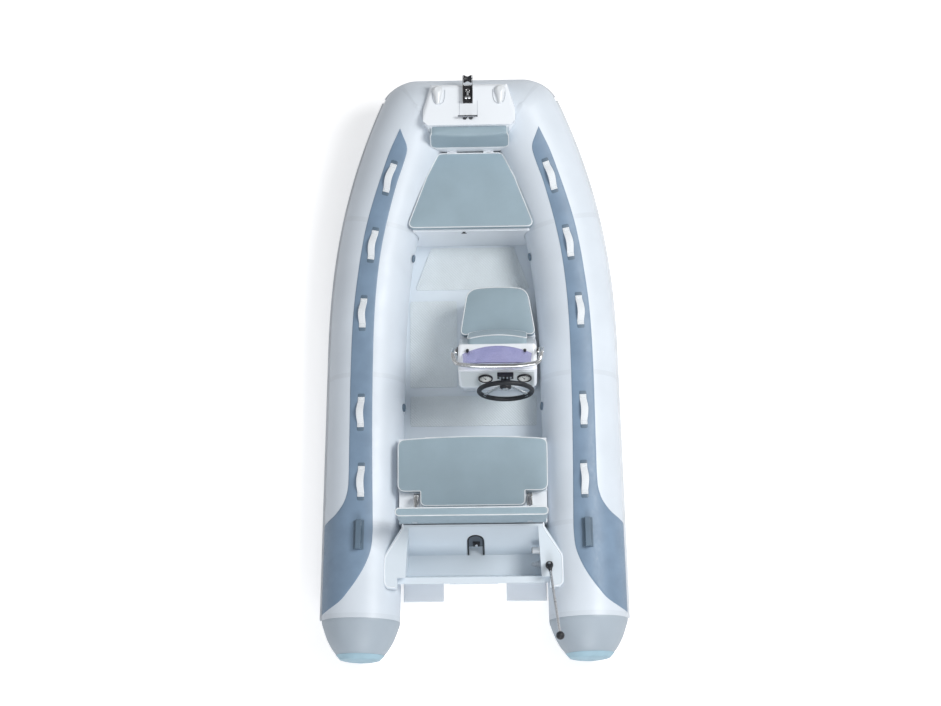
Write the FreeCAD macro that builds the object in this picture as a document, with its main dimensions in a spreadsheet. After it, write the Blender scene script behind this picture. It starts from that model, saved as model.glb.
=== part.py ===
import FreeCAD, Part
import math
import os
import types
import Sketcher
from FreeCAD import Placement, Rotation, Vector

# A small rigid inflatable boat, afloat. Millimetres, +X starboard, +Y bow, +Z up.
# The origin is on the centreline at the waterline, below the front of the console.

DRIVING_SIZES = {
    "seat_gap": 0.3,
    "swing_gap": 8.0,
    # tubes: a straight stern run, a bend inboard and a sheer that rises to the bow
    "tube_radius": 227.5,
    "tube_centre_height": 210.0,
    "tube_stern_half_spread": 661.0,
    "tube_stern_place": -1450.0,
    "tube_taper_slope": 0.0209,
    "tube_bend_start": 100.0,
    "bow_corner_place": 1585.0,
    "bow_corner_half_spread": 315.0,
    "bow_rise": 190.0,
    "cone_length": 215.0,
    "cone_end_radius": 120.0,
    "cap_bulge": 22.0,
    "strake_height": 56.0,
    "strake_thickness": 14.0,
    "wear_strip_thickness": 3.0,
    "handle_length": 180.0,
    "handle_width": 34.0,
    "handle_rise": 26.0,
    "handle_thickness": 4.0,
    "carry_handle_tilt": 2.0,
    "carry_handle_place": -975.0,
    "carry_handle_length": 170.0,
    "carry_handle_width": 62.0,
    "carry_handle_height": 40.0,
    "valve_radius": 24.0,
    "valve_height": 12.0,
    # rigid hull
    "transom_place": -1249.0,
    "transom_thickness": 38.0,
    "transom_top": 335.0,
    "transom_rake": 11.0,
    "clamp_pad_half": 140.0,
    "clamp_pad_low": 265.0,
    "clamp_pad_high": 14.0,
    "clamp_pad_thickness": 4.0,
    "keel_depth": 190.0,
    "forefoot_place": 300.0,
    "stem_place": 1570.0,
    "stem_height": 190.0,
    "chine_half_width": 500.0,
    "chine_drop": 20.0,
    "chine_rise": 260.0,
    "chine_flat_share": 0.9,
    "spray_rail_share": 0.06,
    "hull_top": 90.0,
    "hull_bow_rise": 150.0,
    "pad_inner": 187.0,
    "pad_outer": 423.0,
    "pad_aft": -1310.0,
    "pad_top": 12.0,
    # deck moulding
    "floor_top": 100.0,
    "floor_half_width": 470.0,
    "locker_foot": 885.0,
    "bulkhead_place": -927.0,
    "bulkhead_foot": -1056.0,
    "side_deck_top": 391.0,
    "bulkhead_half_width": 375.0,
    "well_floor": 160.0,
    "well_aft_half_width": 395.0,
    "transom_half_width": 505.0,
    "liner_wall": 8.0,
    "deck_edge_forward": 414.0,
    "deck_edge_aft": 519.0,
    "deck_edge_knee": -1096.0,
    "deck_wing_aft": -1281.0,
    "deck_wing_inner": 440.0,
    "arch_half_width": 52.0,
    "arch_centre": 11.0,
    "arch_depth": 70.0,
    "arch_top": 360.0,
    "floor_pad_thickness": 4.0,
    "bow_pad_clearance": 32.0,
    "bow_pad_length": 268.0,
    "bow_pad_front_half": 253.0,
    "bow_pad_aft_half": 351.0,
    "port_pad_outer": 382.0,
    "port_pad_inner": 96.0,
    "port_pad_front": 515.0,
    "port_pad_aft": -25.0,
    "aft_pad_half": 380.0,
    "aft_pad_front": -80.0,
    "aft_pad_aft": -266.0,
    # bow
    "locker_top": 392.0,
    "lid_thickness": 12.0,
    "barrel_radius": 4.0,
    "barrel_pin_radius": 1.8,
    "barrel_inner": 14.0,
    "barrel_outer": 30.0,
    "bow_cushion_thickness": 46.0,
    "bow_lid_front": 1346.0,
    "lid_overhang": 15.0,
    "bow_lid_front_half": 212.0,
    "bow_lid_aft_half": 386.0,
    "deck_top": 665.0,
    "deck_front": 1706.0,
    "deck_front_half": 229.0,
    "deck_widest": 1560.0,
    "deck_wide_half": 274.0,
    "deck_shoulder": 1470.0,
    "deck_tuck": 1430.0,
    "deck_aft": 1388.0,
    "deck_aft_half": 238.0,
    "deck_underside": 380.0,
    "rest_foot_place": 1352.0,
    "rest_foot_height": 505.0,
    "bow_rest_thickness": 52.0,
    "bow_rest_half": 226.0,
    "fairing_spread": 186.0,
    "fairing_length": 104.0,
    "fairing_width": 66.0,
    "fairing_height": 30.0,
    "anchor_line": -6.0,
    "channel_width": 62.0,
    "channel_wall": 3.0,
    "channel_depth": 34.0,
    "channel_aft": 1574.0,
    "channel_front": 1742.0,
    "roller_radius": 23.0,
    "roller_width": 50.0,
    "cleat_length": 118.0,
    "cleat_place": 1484.0,
    "cleat_height": 34.0,
    # console
    "console_centre": 155.0,
    "console_half_width": 226.0,
    "console_front_foot": 196.0,
    "console_front_knee_height": 420.0,
    "console_front_top": 56.0,
    "console_top": 800.0,
    "console_top_aft": -98.0,
    "panel_foot_place": -150.0,
    "panel_foot_height": 600.0,
    "pod_depth": 80.0,
    "console_foot_aft": -50.0,
    "seat_box_front": 498.0,
    "seat_box_front_half": 176.0,
    "seat_cushion_top": 450.0,
    "seat_cushion_thickness": 56.0,
    "seat_cushion_aft": 201.0,
    "seat_cushion_front": 512.0,
    "rest_pad_half": 162.0,
    "rest_pad_thickness": 34.0,
    "screen_thickness": 5.0,
    "screen_height": 110.0,
    "screen_half_width": 198.0,
    "screen_front": 45.0,
    "screen_aft": -80.0,
    "screen_sweep": 46.0,
    "rail_radius": 12.5,
    "rail_height": 930.0,
    "rail_half_width": 250.0,
    "rail_aft": -90.0,
    "rail_front": 26.0,
    "rail_bow": 16.0,
    "rail_foot_drop": 42.0,
    "wheel_x": 200.0,
    "wheel_place": -200.0,
    "wheel_height": 715.0,
    "wheel_radius": 165.0,
    "wheel_rim_radius": 14.0,
    "wheel_rake": 4.5,
    "wheel_hub_radius": 34.0,
    "wheel_dish": 34.0,
    "shaft_radius": 9.0,
    "spoke_width": 24.0,
    "spoke_thickness": 6.0,
    "gauge_radius": 42.0,
    "gauge_depth": 12.0,
    "gauge_height": 721.0,
    "gauge_port_offset": 69.0,
    "gauge_starboard_offset": 153.0,
    "switch_width": 92.0,
    "switch_rise": 38.0,
    "switch_depth": 26.0,
    "switch_height": 765.0,
    "column_radius": 27.0,
    "dash_plate_half": 208.0,
    "dash_plate_rise": 170.0,
    "dash_plate_thickness": 4.0,
    "dash_plate_height": 702.0,
    # aft seat
    "aft_box_front": -412.0,
    "aft_box_aft": -900.0,
    "aft_box_half": 430.0,
    "aft_box_top": 360.0,
    "aft_cushion_front": -397.0,
    "aft_cushion_aft": -721.0,
    "aft_tongue_aft": -807.0,
    "aft_tongue_half": 304.0,
    "aft_cushion_half": 436.0,
    "aft_cushion_thickness": 48.0,
    "aft_rest_top": 705.0,
    "aft_rest_foot": 505.0,
    "aft_rest_front": -867.0,
    "aft_rest_thickness": 48.0,
    "aft_rest_half": 434.0,
    "bracket_x": 330.0,
    "bracket_width": 30.0,
    "bracket_pin_place": -762.0,
    "bracket_pin_height": 410.0,
    "bracket_pin_radius": 6.0,
    "bracket_plate": 4.0,
    # stern light
    "light_x": 437.0,
    "light_place": -1158.0,
    "light_base_height": 30.0,
    "light_pin_rise": 22.0,
    "light_pin_radius": 4.0,
    "light_base_radius": 22.0,
    "light_pole_radius": 8.0,
    "light_pole_length": 452.0,
    "light_pole_rise": 23.0,
    "light_lamp_radius": 24.0,
    "boot_radius": 26.0,
    "boot_height": 62.0,
    "boot_place": -1128.0,
    "boot_level": 250.0,
    "fitting_radius": 26.0,
    "fitting_length": 54.0,
    "fitting_place": -1052.0,
    "fitting_level": 290.0,
    "eye_bore": 8.0,
    "eye_plate": 12.0,
}

# Grab handles: place along the boat and degrees outboard of the crown
HANDLE_SPOTS = ((1195.0, -0.8), (784.0, 1.6), (361.0, 5.3), (-250.0, 3.6), (-662.0, 0.6))
VALVE_PLACES = (770.0, -180.0)
TUBE_STATIONS = (0.0, 330.0, 640.0, 910.0, 1150.0, 1370.0)
BEND_EXPONENT = 2.4
HULL_FORE_STEPS = 6
HULL_BOW_STEPS = 9


class Size:
    """A length of the spreadsheet, or a sum of such lengths, with its own formula."""

    def __init__(self, number, formula):
        self.number = number
        self.formula = formula

    def __add__(self, other):
        other = as_size(other)
        return Size(self.number + other.number, f"({self.formula} + {other.formula})")

    def __sub__(self, other):
        other = as_size(other)
        return Size(self.number - other.number, f"({self.formula} - {other.formula})")

    def __mul__(self, other):
        other = as_size(other)
        return Size(self.number * other.number, f"({self.formula} * {other.formula})")

    def __truediv__(self, other):
        other = as_size(other)
        return Size(self.number / other.number, f"({self.formula} / {other.formula})")

    def __neg__(self):
        return Size(-self.number, f"(0 - {self.formula})")

    def __radd__(self, other):
        return as_size(other) + self

    def __rsub__(self, other):
        return as_size(other) - self

    def __rmul__(self, other):
        return as_size(other) * self

    def __float__(self):
        return float(self.number)


def as_size(value):
    return value if isinstance(value, Size) else Size(float(value), repr(float(value)))


def read_sizes():
    """Fill the spreadsheet and give each size as an attribute."""
    sheet = doc.addObject("Spreadsheet::Sheet", "Sizes")
    for row, (name, value) in enumerate(DRIVING_SIZES.items(), start=1):
        sheet.set(f"A{row}", name)
        sheet.set(f"B{row}", str(value))
        sheet.setAlias(f"B{row}", name)
    doc.recompute()
    named = {name: Size(sheet.get(name), f"Sizes.{name}") for name in DRIVING_SIZES}
    return types.SimpleNamespace(**named)


doc = FreeCAD.newDocument("InflatableBoat")
dim = read_sizes()
num = types.SimpleNamespace(**{name: float(getattr(dim, name)) for name in DRIVING_SIZES})
nodes = {}


def keep(label, item):
    """Label an object as a finished node."""
    item.Label = label
    nodes[label] = item
    return item


def bind(item, path, size):
    item.setExpression(path, as_size(size).formula)


def new_body(name):
    return doc.addObject("PartDesign::Body", name)


def origin_plane(body, role):
    return next(feature for feature in body.Origin.OriginFeatures if feature.Role == role)


def new_sketch(body, role, offset, name="Outline"):
    sketch = body.newObject("Sketcher::SketchObject", f"{body.Name}_{name}")
    sketch.AttachmentSupport = [(origin_plane(body, role), "")]
    sketch.MapMode = "FlatFace"
    bind(sketch, "AttachmentOffset.Base.z", offset)
    return sketch


def hold(sketch, edge, end, across, up):
    """Hold a sketch point by its two bound distances from the origin."""
    for kind, size in (("DistanceX", as_size(across)), ("DistanceY", as_size(up))):
        row = sketch.addConstraint(Sketcher.Constraint(kind, -1, 1, edge, end, size.number))
        bind(sketch, f"Constraints[{row}]", size)


def polygon_sketch(body, role, offset, points, name="Outline"):
    """Closed polygon whose corners are all bound to sizes."""
    sketch = new_sketch(body, role, offset, name)
    spots = [Vector(float(across), float(up), 0) for across, up in points]
    count = len(spots)
    for start in range(count):
        sketch.addGeometry(Part.LineSegment(spots[start], spots[(start + 1) % count]), False)
    for start in range(count):
        sketch.addConstraint(Sketcher.Constraint("Coincident", start, 2, (start + 1) % count, 1))
    for start, (across, up) in enumerate(points):
        hold(sketch, start, 1, across, up)
    return sketch


def pad(body, sketch, length, reverse=False):
    feature = body.newObject("PartDesign::Pad", f"{body.Name}_Pad")
    feature.Profile = sketch
    feature.Reversed = reverse
    bind(feature, "Length", length)
    doc.recompute()
    return feature


def pocket(body, sketch, length, reverse=False):
    before = body.Shape.Volume
    feature = body.newObject("PartDesign::Pocket", f"{body.Name}_Pocket")
    feature.Profile = sketch
    feature.Reversed = reverse
    bind(feature, "Length", length)
    doc.recompute()
    if not feature.Shape.Volume < before:
        raise ValueError(f"{feature.Label} cuts nothing")
    return feature


def round_edges(body, radius, chosen):
    """Fillet the edges of the body's tip that the test chooses."""
    base = body.Tip
    names = [f"Edge{i}" for i, edge in enumerate(base.Shape.Edges, start=1) if chosen(edge)]
    feature = body.newObject("PartDesign::Fillet", f"{body.Name}_Fillet")
    feature.Base = (base, names)
    bind(feature, "Radius", radius)
    doc.recompute()
    return feature


def along(axis):
    """Test for straight edges that run along an axis."""
    def chosen(edge):
        if len(edge.Vertexes) < 2 or not isinstance(edge.Curve, Part.Line):
            return False
        run = edge.Vertexes[1].Point - edge.Vertexes[0].Point
        return abs(abs(run.normalize().dot(axis)) - 1) < 1e-6
    return chosen


def at_height(height):
    """Test for edges that lie level at one height."""
    def chosen(edge):
        box = edge.BoundBox
        return abs(box.ZMin - float(height)) < 1e-3 and abs(box.ZMax - float(height)) < 1e-3
    return chosen


def feature(name, shape):
    item = doc.addObject("Part::Feature", name)
    item.Shape = shape
    return item


def cut(name, base, tool):
    item = doc.addObject("Part::Cut", name)
    item.Base = base
    item.Tool = tool
    return item


def fuse(name, *items):
    item = doc.addObject("Part::MultiFuse", name)
    item.Shapes = list(items)
    return item


def axis_cylinder(name, radius, length, base, axis):
    """A Part cylinder that starts at a bound place and runs along X, Y or Z."""
    item = doc.addObject("Part::Cylinder", name)
    bind(item, "Radius", radius)
    bind(item, "Height", length)
    item.Placement = Placement(Vector(0, 0, 0), Rotation(Vector(0, 0, 1), axis))
    for letter, size in zip("xyz", base):
        bind(item, f"Placement.Base.{letter}", size)
    return item


def block(name, low, high):
    """A Part box between two bound corners."""
    item = doc.addObject("Part::Box", name)
    for prop, letter, start, end in zip(("Length", "Width", "Height"), "xyz", low, high):
        bind(item, f"Placement.Base.{letter}", start)
        bind(item, prop, as_size(end) - start)
    return item


X, Y, Z = Vector(1, 0, 0), Vector(0, 1, 0), Vector(0, 0, 1)


# Tubes


def tube_x(y):
    """Half spread of the side tube's centre line at a place along the boat."""
    straight = num.tube_stern_half_spread - num.tube_taper_slope * (y - num.tube_stern_place)
    bend_run = num.bow_corner_place - num.tube_bend_start
    end = num.tube_stern_half_spread - num.tube_taper_slope * (num.bow_corner_place - num.tube_stern_place)
    reach = end - num.bow_corner_half_spread
    share = max(0.0, (y - num.tube_bend_start) / bend_run)
    return straight - reach * share ** BEND_EXPONENT


def tube_z(y):
    share = max(0.0, y / num.bow_corner_place)
    return num.tube_centre_height + num.bow_rise * share ** 2


def tube_point(side, y):
    return Vector(side * tube_x(y), y, tube_z(y))


def route(points, reach=0.499):
    """A wire of straight runs joined by tangent arcs at the inner points."""
    edges = []
    start = points[0]
    for before, corner, after in zip(points, points[1:], points[2:]):
        into, out = corner - before, after - corner
        tangent = reach * min(into.Length, out.Length)
        into.normalize()
        out.normalize()
        half_turn = into.getAngle(out) / 2
        first, last = corner - into * tangent, corner + out * tangent
        inward = (out - into).normalize()
        middle = corner + inward * (tangent * math.tan(half_turn / 2))
        edges.append(Part.LineSegment(start, first).toShape())
        edges.append(Part.Arc(first, middle, last).toShape())
        start = last
    edges.append(Part.LineSegment(start, points[-1]).toShape())
    return Part.Wire(edges)


def side_path(side):
    stern = tube_point(side, num.tube_stern_place)
    bends = [tube_point(side, y) for y in TUBE_STATIONS]
    corner = tube_point(side, num.bow_corner_place)
    return route([stern, *bends, corner])


def pipe(path, radius):
    """A solid round tube along a path."""
    start = path.OrderedVertexes[0].Point
    ahead = path.OrderedEdges[0].tangentAt(path.OrderedEdges[0].FirstParameter)
    ring = Part.Wire([Part.Circle(start, ahead, radius).toShape()])
    return path.makePipeShell([ring], True, False)


def mitre_cutter(side):
    """A block on the bow side of the mitre plane through the bow corner."""
    corner = tube_point(side, num.bow_corner_place)
    path = side_path(side)
    last = path.OrderedEdges[-1]
    ahead = last.tangentAt(last.LastParameter)
    heading = Vector(ahead.x, ahead.y, 0).normalize()
    across = Vector(-side, 0, 0)
    normal = (heading + across).normalize()
    span = 4 * num.tube_radius
    cutter = Part.makeBox(span, span, span, Vector(-span / 2, -span / 2, 0))
    cutter.Placement = Placement(corner, Rotation(Z, normal))
    return cutter


def side_tube(side, radius):
    corner = tube_point(side, num.bow_corner_place)
    whole = pipe(side_path(side), radius).fuse(Part.makeSphere(radius, corner))
    return whole.cut(mitre_cutter(side)).removeSplitter()


def bow_tube(radius):
    """The short straight tube across the bow with its two mitred ends."""
    port, starboard = (tube_point(side, num.bow_corner_place) for side in (-1, 1))
    middle = Part.makeCylinder(radius, (starboard - port).Length, port, X)
    ends = [Part.makeSphere(radius, corner) for corner in (port, starboard)]
    halves = [shape.common(mitre_cutter(side)) for shape, side in zip(ends, (-1, 1))]
    inner = middle.common(mitre_cutter(-1)).common(mitre_cutter(1))
    return inner.fuse(halves).removeSplitter()


def tube_ring(radius):
    """All three tubes in one solid, for seating what lies against them."""
    port, starboard = side_path(-1), side_path(1)
    corners = [tube_point(side, num.bow_corner_place) for side in (-1, 1)]
    bow = Part.makeCylinder(radius, 2 * num.bow_corner_half_spread, corners[0], X)
    balls = [Part.makeSphere(radius, corner) for corner in corners]
    return pipe(port, radius).fuse([pipe(starboard, radius), bow, *balls])


SIDES = (("port", -1), ("starboard", 1))


def both_sides(name, shape):
    """Keep a port shape and its mirror image as two nodes."""
    keep(f"port_{name}", feature(f"port_{name}", shape))
    keep(f"starboard_{name}", feature(f"starboard_{name}", shape.mirror(Vector(0, 0, 0), X)))


both_sides("tube", side_tube(-1, num.tube_radius))
keep("bow_tube", feature("bow_tube", bow_tube(num.tube_radius)))
tube_space = feature("tube_space", tube_ring(num.tube_radius + num.seat_gap))
liner_space = feature("liner_space", tube_ring(num.tube_radius + num.liner_wall))


# Cone ends, caps, rub strake and wear strips

CONE_SHOULDER = 0.55


def turned(profile):
    """A solid of revolution on the port tube's end, about the tube's own line."""
    base = tube_point(-1, num.tube_stern_place)
    shape = Part.Face(Part.Wire(profile)).revolve(Vector(0, 0, 0), Y, 360)
    shape.Placement = Placement(base, Rotation(Z, -math.degrees(math.atan(num.tube_taper_slope))))
    return shape


def cone_shape():
    """The tapered tube end: a curve from the tube's skin to the cap."""
    wide, narrow, length = num.tube_radius, num.cone_end_radius, num.cone_length
    hub = Vector(0, -num.seat_gap, 0)
    rim = Vector(wide, -num.seat_gap, 0)
    shoulder = Vector(wide - (wide - narrow) * (1 - CONE_SHOULDER) * 0.72, -length * CONE_SHOULDER, 0)
    tip = Vector(narrow, -length, 0)
    edges = [
        Part.LineSegment(hub, rim).toShape(),
        Part.Arc(rim, shoulder, tip).toShape(),
        Part.LineSegment(tip, Vector(0, -length, 0)).toShape(),
        Part.LineSegment(Vector(0, -length, 0), hub).toShape(),
    ]
    return turned(edges)


def cap_shape():
    narrow, bulge, eye = num.cone_end_radius, num.cap_bulge, num.cone_end_radius * 0.2
    start = -num.cone_length - num.seat_gap
    spots = [Vector(0, start, 0), Vector(narrow - 4, start, 0), Vector(eye, start - bulge, 0),
             Vector(0, start - bulge, 0)]
    edges = [
        Part.LineSegment(spots[0], spots[1]).toShape(),
        Part.Arc(spots[1], Vector(narrow * 0.72, start - bulge * 0.66, 0), spots[2]).toShape(),
        Part.LineSegment(spots[2], spots[3]).toShape(),
        Part.LineSegment(spots[3], spots[0]).toShape(),
    ]
    return turned(edges)


both_sides("cone", cone_shape())
both_sides("cone_cap", cap_shape())


def swept_band(inner, outer, first_angle, last_angle, upright):
    """A curved strip on the port tube's skin, between two angles outboard of the crown."""
    path = side_path(-1)
    centre = tube_point(-1, num.tube_stern_place)
    outboard = Rotation(Z, -math.degrees(math.atan(num.tube_taper_slope))).multVec(-X)

    def spot(radius, angle):
        turn = math.radians(angle)
        return centre + outboard * (radius * math.sin(turn)) + Z * (radius * math.cos(turn))

    middle = (first_angle + last_angle) / 2
    edges = [
        Part.Arc(spot(outer, first_angle), spot(outer, middle), spot(outer, last_angle)).toShape(),
        Part.LineSegment(spot(outer, last_angle), spot(inner, last_angle)).toShape(),
        Part.Arc(spot(inner, last_angle), spot(inner, middle), spot(inner, first_angle)).toShape(),
        Part.LineSegment(spot(inner, first_angle), spot(outer, first_angle)).toShape(),
    ]
    maker = Part.BRepOffsetAPI.MakePipeShell(path)
    if upright:
        maker.setBiNormalMode(Z)
    maker.add(Part.Wire(edges))
    maker.build()
    maker.makeSolid()
    return maker.shape()


def rub_strake():
    """A raised band on the outermost line of each tube, and one piece round the bow."""
    tube, thick, half = num.tube_radius, num.strake_thickness, num.strake_height / 2
    spread = math.degrees(half / tube)
    inner, outer = tube + num.seat_gap, tube + thick
    both_sides("rub_strake", swept_band(inner, outer, 90 - spread, 90 + spread, True))
    corner = tube_point(-1, num.bow_corner_place)
    section = Part.Face(Part.makePolygon([
        corner + Vector(0, math.sqrt(inner ** 2 - half ** 2) + 2, -half),
        corner + Vector(0, math.sqrt(outer ** 2 - half ** 2), -half),
        corner + Vector(0, outer, 0),
        corner + Vector(0, math.sqrt(outer ** 2 - half ** 2), half),
        corner + Vector(0, math.sqrt(inner ** 2 - half ** 2) + 2, half),
        corner + Vector(0, math.sqrt(inner ** 2 - half ** 2) + 2, -half),
    ]))
    path = side_path(-1)
    last = path.OrderedEdges[-1]
    ahead = last.tangentAt(last.LastParameter)
    turn = 90 - math.degrees(math.atan2(ahead.x, ahead.y)) - STRAKE_JOINT_ANGLE
    bend = section.revolve(corner, Z, turn)
    bar = section.extrude(Vector(num.bow_corner_half_spread, 0, 0))
    port = bend.fuse(bar)
    whole = port.fuse(port.mirror(Vector(0, 0, 0), X)).removeSplitter()
    keep("bow_rub_strake", cut("bow_rub_strake", feature("bow_strake_bar", whole), tube_space))


STRAKE_JOINT_ANGLE = 4.0
rub_strake()

# The wear strip's edges as degrees outboard of the tube's crown, from bow to stern
STRIP_OUTER_EDGE = (
    (1478, 8.7), (1411, 10.2), (1339, 11.8), (1190, 13.0), (1039, 15.1), (887, 17.2), (736, 18.0),
    (596, 18.6), (350, 20.5), (0, 21.4), (-262, 20.8), (-465, 20.1), (-661, 19.8), (-737, 22.3),
    (-794, 28.5), (-849, 42.0), (-882, 63.5), (-900, 90.0),
)
STRIP_INNER_EDGE = (
    (1478, 8.7), (1440, -1.0), (1405, -9.5), (1366, -13.4), (1283, -14.2), (1190, -13.3), (1067, -13.0),
    (911, -12.3), (753, -11.6), (609, -11.6), (350, -11.8), (0, -12.2), (-261, -13.1), (-464, -14.4),
    (-659, -15.9), (-852, -17.6), (-951, -18.2), (-1050, -16.4), (-1127, -10.5), (-1203, -1.2),
    (-1284, 12.5), (-1357, 29.5), (-1407, 58.0), (-1428, 90.0),
)


def strip_edge(rows, reach=1.0):
    """A smooth plan curve through points on the tube's skin."""
    spots = []
    for y, angle in rows:
        slope = (tube_x(y + 1) - tube_x(y - 1)) / 2
        spots.append(Vector(-tube_x(y) - reach * num.tube_radius * math.sin(math.radians(angle))
                            * math.hypot(1, slope), y, 0))
    curve = Part.BSplineCurve()
    curve.interpolate(spots)
    return curve.toShape()


def wear_strip():
    """The broad glued strip along the top of the tube, down to the strake at the stern."""
    outer, inner = strip_edge(STRIP_OUTER_EDGE), strip_edge(STRIP_INNER_EDGE)
    out_point, in_point = outer.Vertexes[1].Point, inner.Vertexes[1].Point
    far = Vector(-num.tube_radius, 0, 0)
    close = Part.makePolygon([out_point, out_point + far, in_point + far, in_point])
    face = Part.Face(Part.Wire(Part.__sortEdges__([outer, inner, *close.Edges])))
    prism = face.extrude(Vector(0, 0, num.deck_top))
    tube = num.tube_radius
    spread = math.degrees(num.strake_height / 2 / tube)
    band = swept_band(tube + num.seat_gap, tube + num.wear_strip_thickness, -25, 90 - spread - 3, False)
    both_sides("wear_strip", band.common(prism))


wear_strip()


# Grab handles, carry handles and valves


def strap_shape(length, width, rise, thick):
    """A webbing strap along Y with its two ends flat on Z = 0 and its middle raised."""
    half, foot = length / 2, length / 4
    def line(lift):
        return [Vector(0, -half, lift), Vector(0, -half + foot * 0.6, lift),
                Vector(0, -half + foot * 1.3, rise + lift), Vector(0, half - foot * 1.3, rise + lift),
                Vector(0, half - foot * 0.6, lift), Vector(0, half, lift)]
    low, high = line(0), line(thick)
    face = Part.Face(Part.makePolygon(low + high[::-1] + low[:1]))
    face.translate(Vector(-width / 2, 0, 0))
    return face.extrude(Vector(width, 0, 0))


def on_tube(shape, y, angle, lift):
    """Seat a shape made at the origin on the port tube, outboard of the crown."""
    slope = (tube_x(y + 1) - tube_x(y - 1)) / 2
    climb = (tube_z(y + 1) - tube_z(y - 1)) / 2
    heading = Rotation(Z, math.degrees(math.atan2(slope, 1)))
    pitch = Rotation(X, math.degrees(math.atan2(climb, 1)))
    lean = Rotation(Y, -angle)
    turn = heading * pitch * lean
    spot = tube_point(-1, y) + turn.multVec(Vector(0, 0, num.tube_radius + lift))
    shape.Placement = Placement(spot, turn) * shape.Placement
    return shape


def seated_on_strip(name, shape):
    """Trim a piece to the wear strip's skin and keep it on both sides."""
    skin = pipe(side_path(-1), num.tube_radius + num.wear_strip_thickness + 3 * num.seat_gap)
    both_sides(name, shape.cut(skin))


def grab_handles():
    lift = num.wear_strip_thickness - 1.5
    straps = [on_tube(strap_shape(num.handle_length, num.handle_width, num.handle_rise,
                                  num.handle_thickness), y, angle, lift)
              for y, angle in HANDLE_SPOTS]
    seated_on_strip("grab_handles", Part.makeCompound(straps))


def carry_handle():
    """A moulded handle block with a finger hole, on each quarter."""
    length, wide, tall = num.carry_handle_length, num.carry_handle_width, num.carry_handle_height
    base = Part.makeBox(wide, length, 8, Vector(-wide / 2, -length / 2, 0))
    grip = Part.makeBox(wide * 0.5, length, tall, Vector(-wide / 4, -length / 2, 0))
    hole = Part.makeBox(wide, length * 0.6, tall * 0.5, Vector(-wide / 2, -length * 0.3, 8))
    solid = base.fuse(grip.cut(hole)).removeSplitter()
    rounded = [edge for edge in solid.Edges if abs(edge.Length - tall) < 0.1 and along(Z)(edge)]
    solid = solid.makeFillet(10, rounded) if rounded else solid
    lift = num.wear_strip_thickness - 2
    seated_on_strip("carry_handle", on_tube(solid, num.carry_handle_place, num.carry_handle_tilt, lift))


def valves():
    cap = Part.makeCylinder(num.valve_radius, num.valve_height)
    cap = cap.makeFillet(num.valve_height * 0.4, [cap.Edges[0]])
    caps = Part.makeCompound([on_tube(cap.copy(), y, -78, -2) for y in VALVE_PLACES])
    both_sides("valves", caps.cut(pipe(side_path(-1), num.tube_radius + 3 * num.seat_gap)))


grab_handles()
carry_handle()
valves()


# Rigid hull


def hull_share(y):
    return max(0.0, (y - num.forefoot_place) / (num.stem_place - num.forefoot_place))


def hull_keel(y):
    return -num.keel_depth + (num.keel_depth + num.stem_height) * hull_share(y) ** 2.6


def hull_half_width(y):
    return num.chine_half_width * (1 - 0.85 * hull_share(y) ** 2.2)


def hull_chine(y):
    return -num.chine_drop + num.chine_rise * hull_share(y) ** 1.8


def hull_deck(y):
    rise = max(0.0, (y - num.locker_foot) / (num.stem_place - num.locker_foot))
    return num.hull_top + num.hull_bow_rise * rise


def bottom_height(y, across):
    """Height of the V bottom at a distance from the centreline."""
    return hull_keel(y) + (hull_chine(y) - hull_keel(y)) * across / hull_half_width(y)


def hull_half_section(y):
    """Corner points from the keel to the deck edge, with two spray rails and a chine flat."""
    half = hull_half_width(y)
    points = [(0.0, hull_keel(y))]
    for share in (0.34, 0.62):
        lip = share + num.spray_rail_share
        points += [(share * half, bottom_height(y, share * half)),
                   (lip * half, bottom_height(y, share * half)),
                   (lip * half + 2, bottom_height(y, lip * half))]
    flat = num.chine_flat_share * half
    points += [(flat, bottom_height(y, flat)), (half, bottom_height(y, flat))]
    points.append((tube_x(y) - num.tube_radius / 2, hull_deck(y)))
    return points


def hull_wire(y):
    half = hull_half_section(y)
    spots = [Vector(x, y, z) for x, z in half] + [Vector(-x, y, z) for x, z in half[:0:-1]]
    return Part.makePolygon(spots + spots[:1])


def hull_solid():
    def steps(start, end, count):
        return [start + (end - start) * turn / count for turn in range(count)]

    places = [num.transom_place, *steps(num.forefoot_place, num.locker_foot, HULL_FORE_STEPS),
              *steps(num.locker_foot, num.stem_place, HULL_BOW_STEPS), num.stem_place]
    return Part.makeLoft([hull_wire(y) for y in places], True, True)


def aft_of_transom(distance):
    """Everything aft of the raked stern plane, moved forward by a distance along its normal."""
    span = 8 * num.chine_half_width
    cutter = Part.makeBox(span, span, span, Vector(-span / 2, distance - span, -span / 2))
    cutter.Placement = Placement(Vector(0, num.transom_place, num.transom_top),
                                 Rotation(X, num.transom_rake))
    return cutter


hull_block = feature("hull_block", hull_solid())
stern_space = feature("stern_space", aft_of_transom(num.transom_thickness + num.seat_gap))
keep("hull_bottom", cut("hull_bottom", cut("hull_raked", hull_block, stern_space), tube_space))


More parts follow.
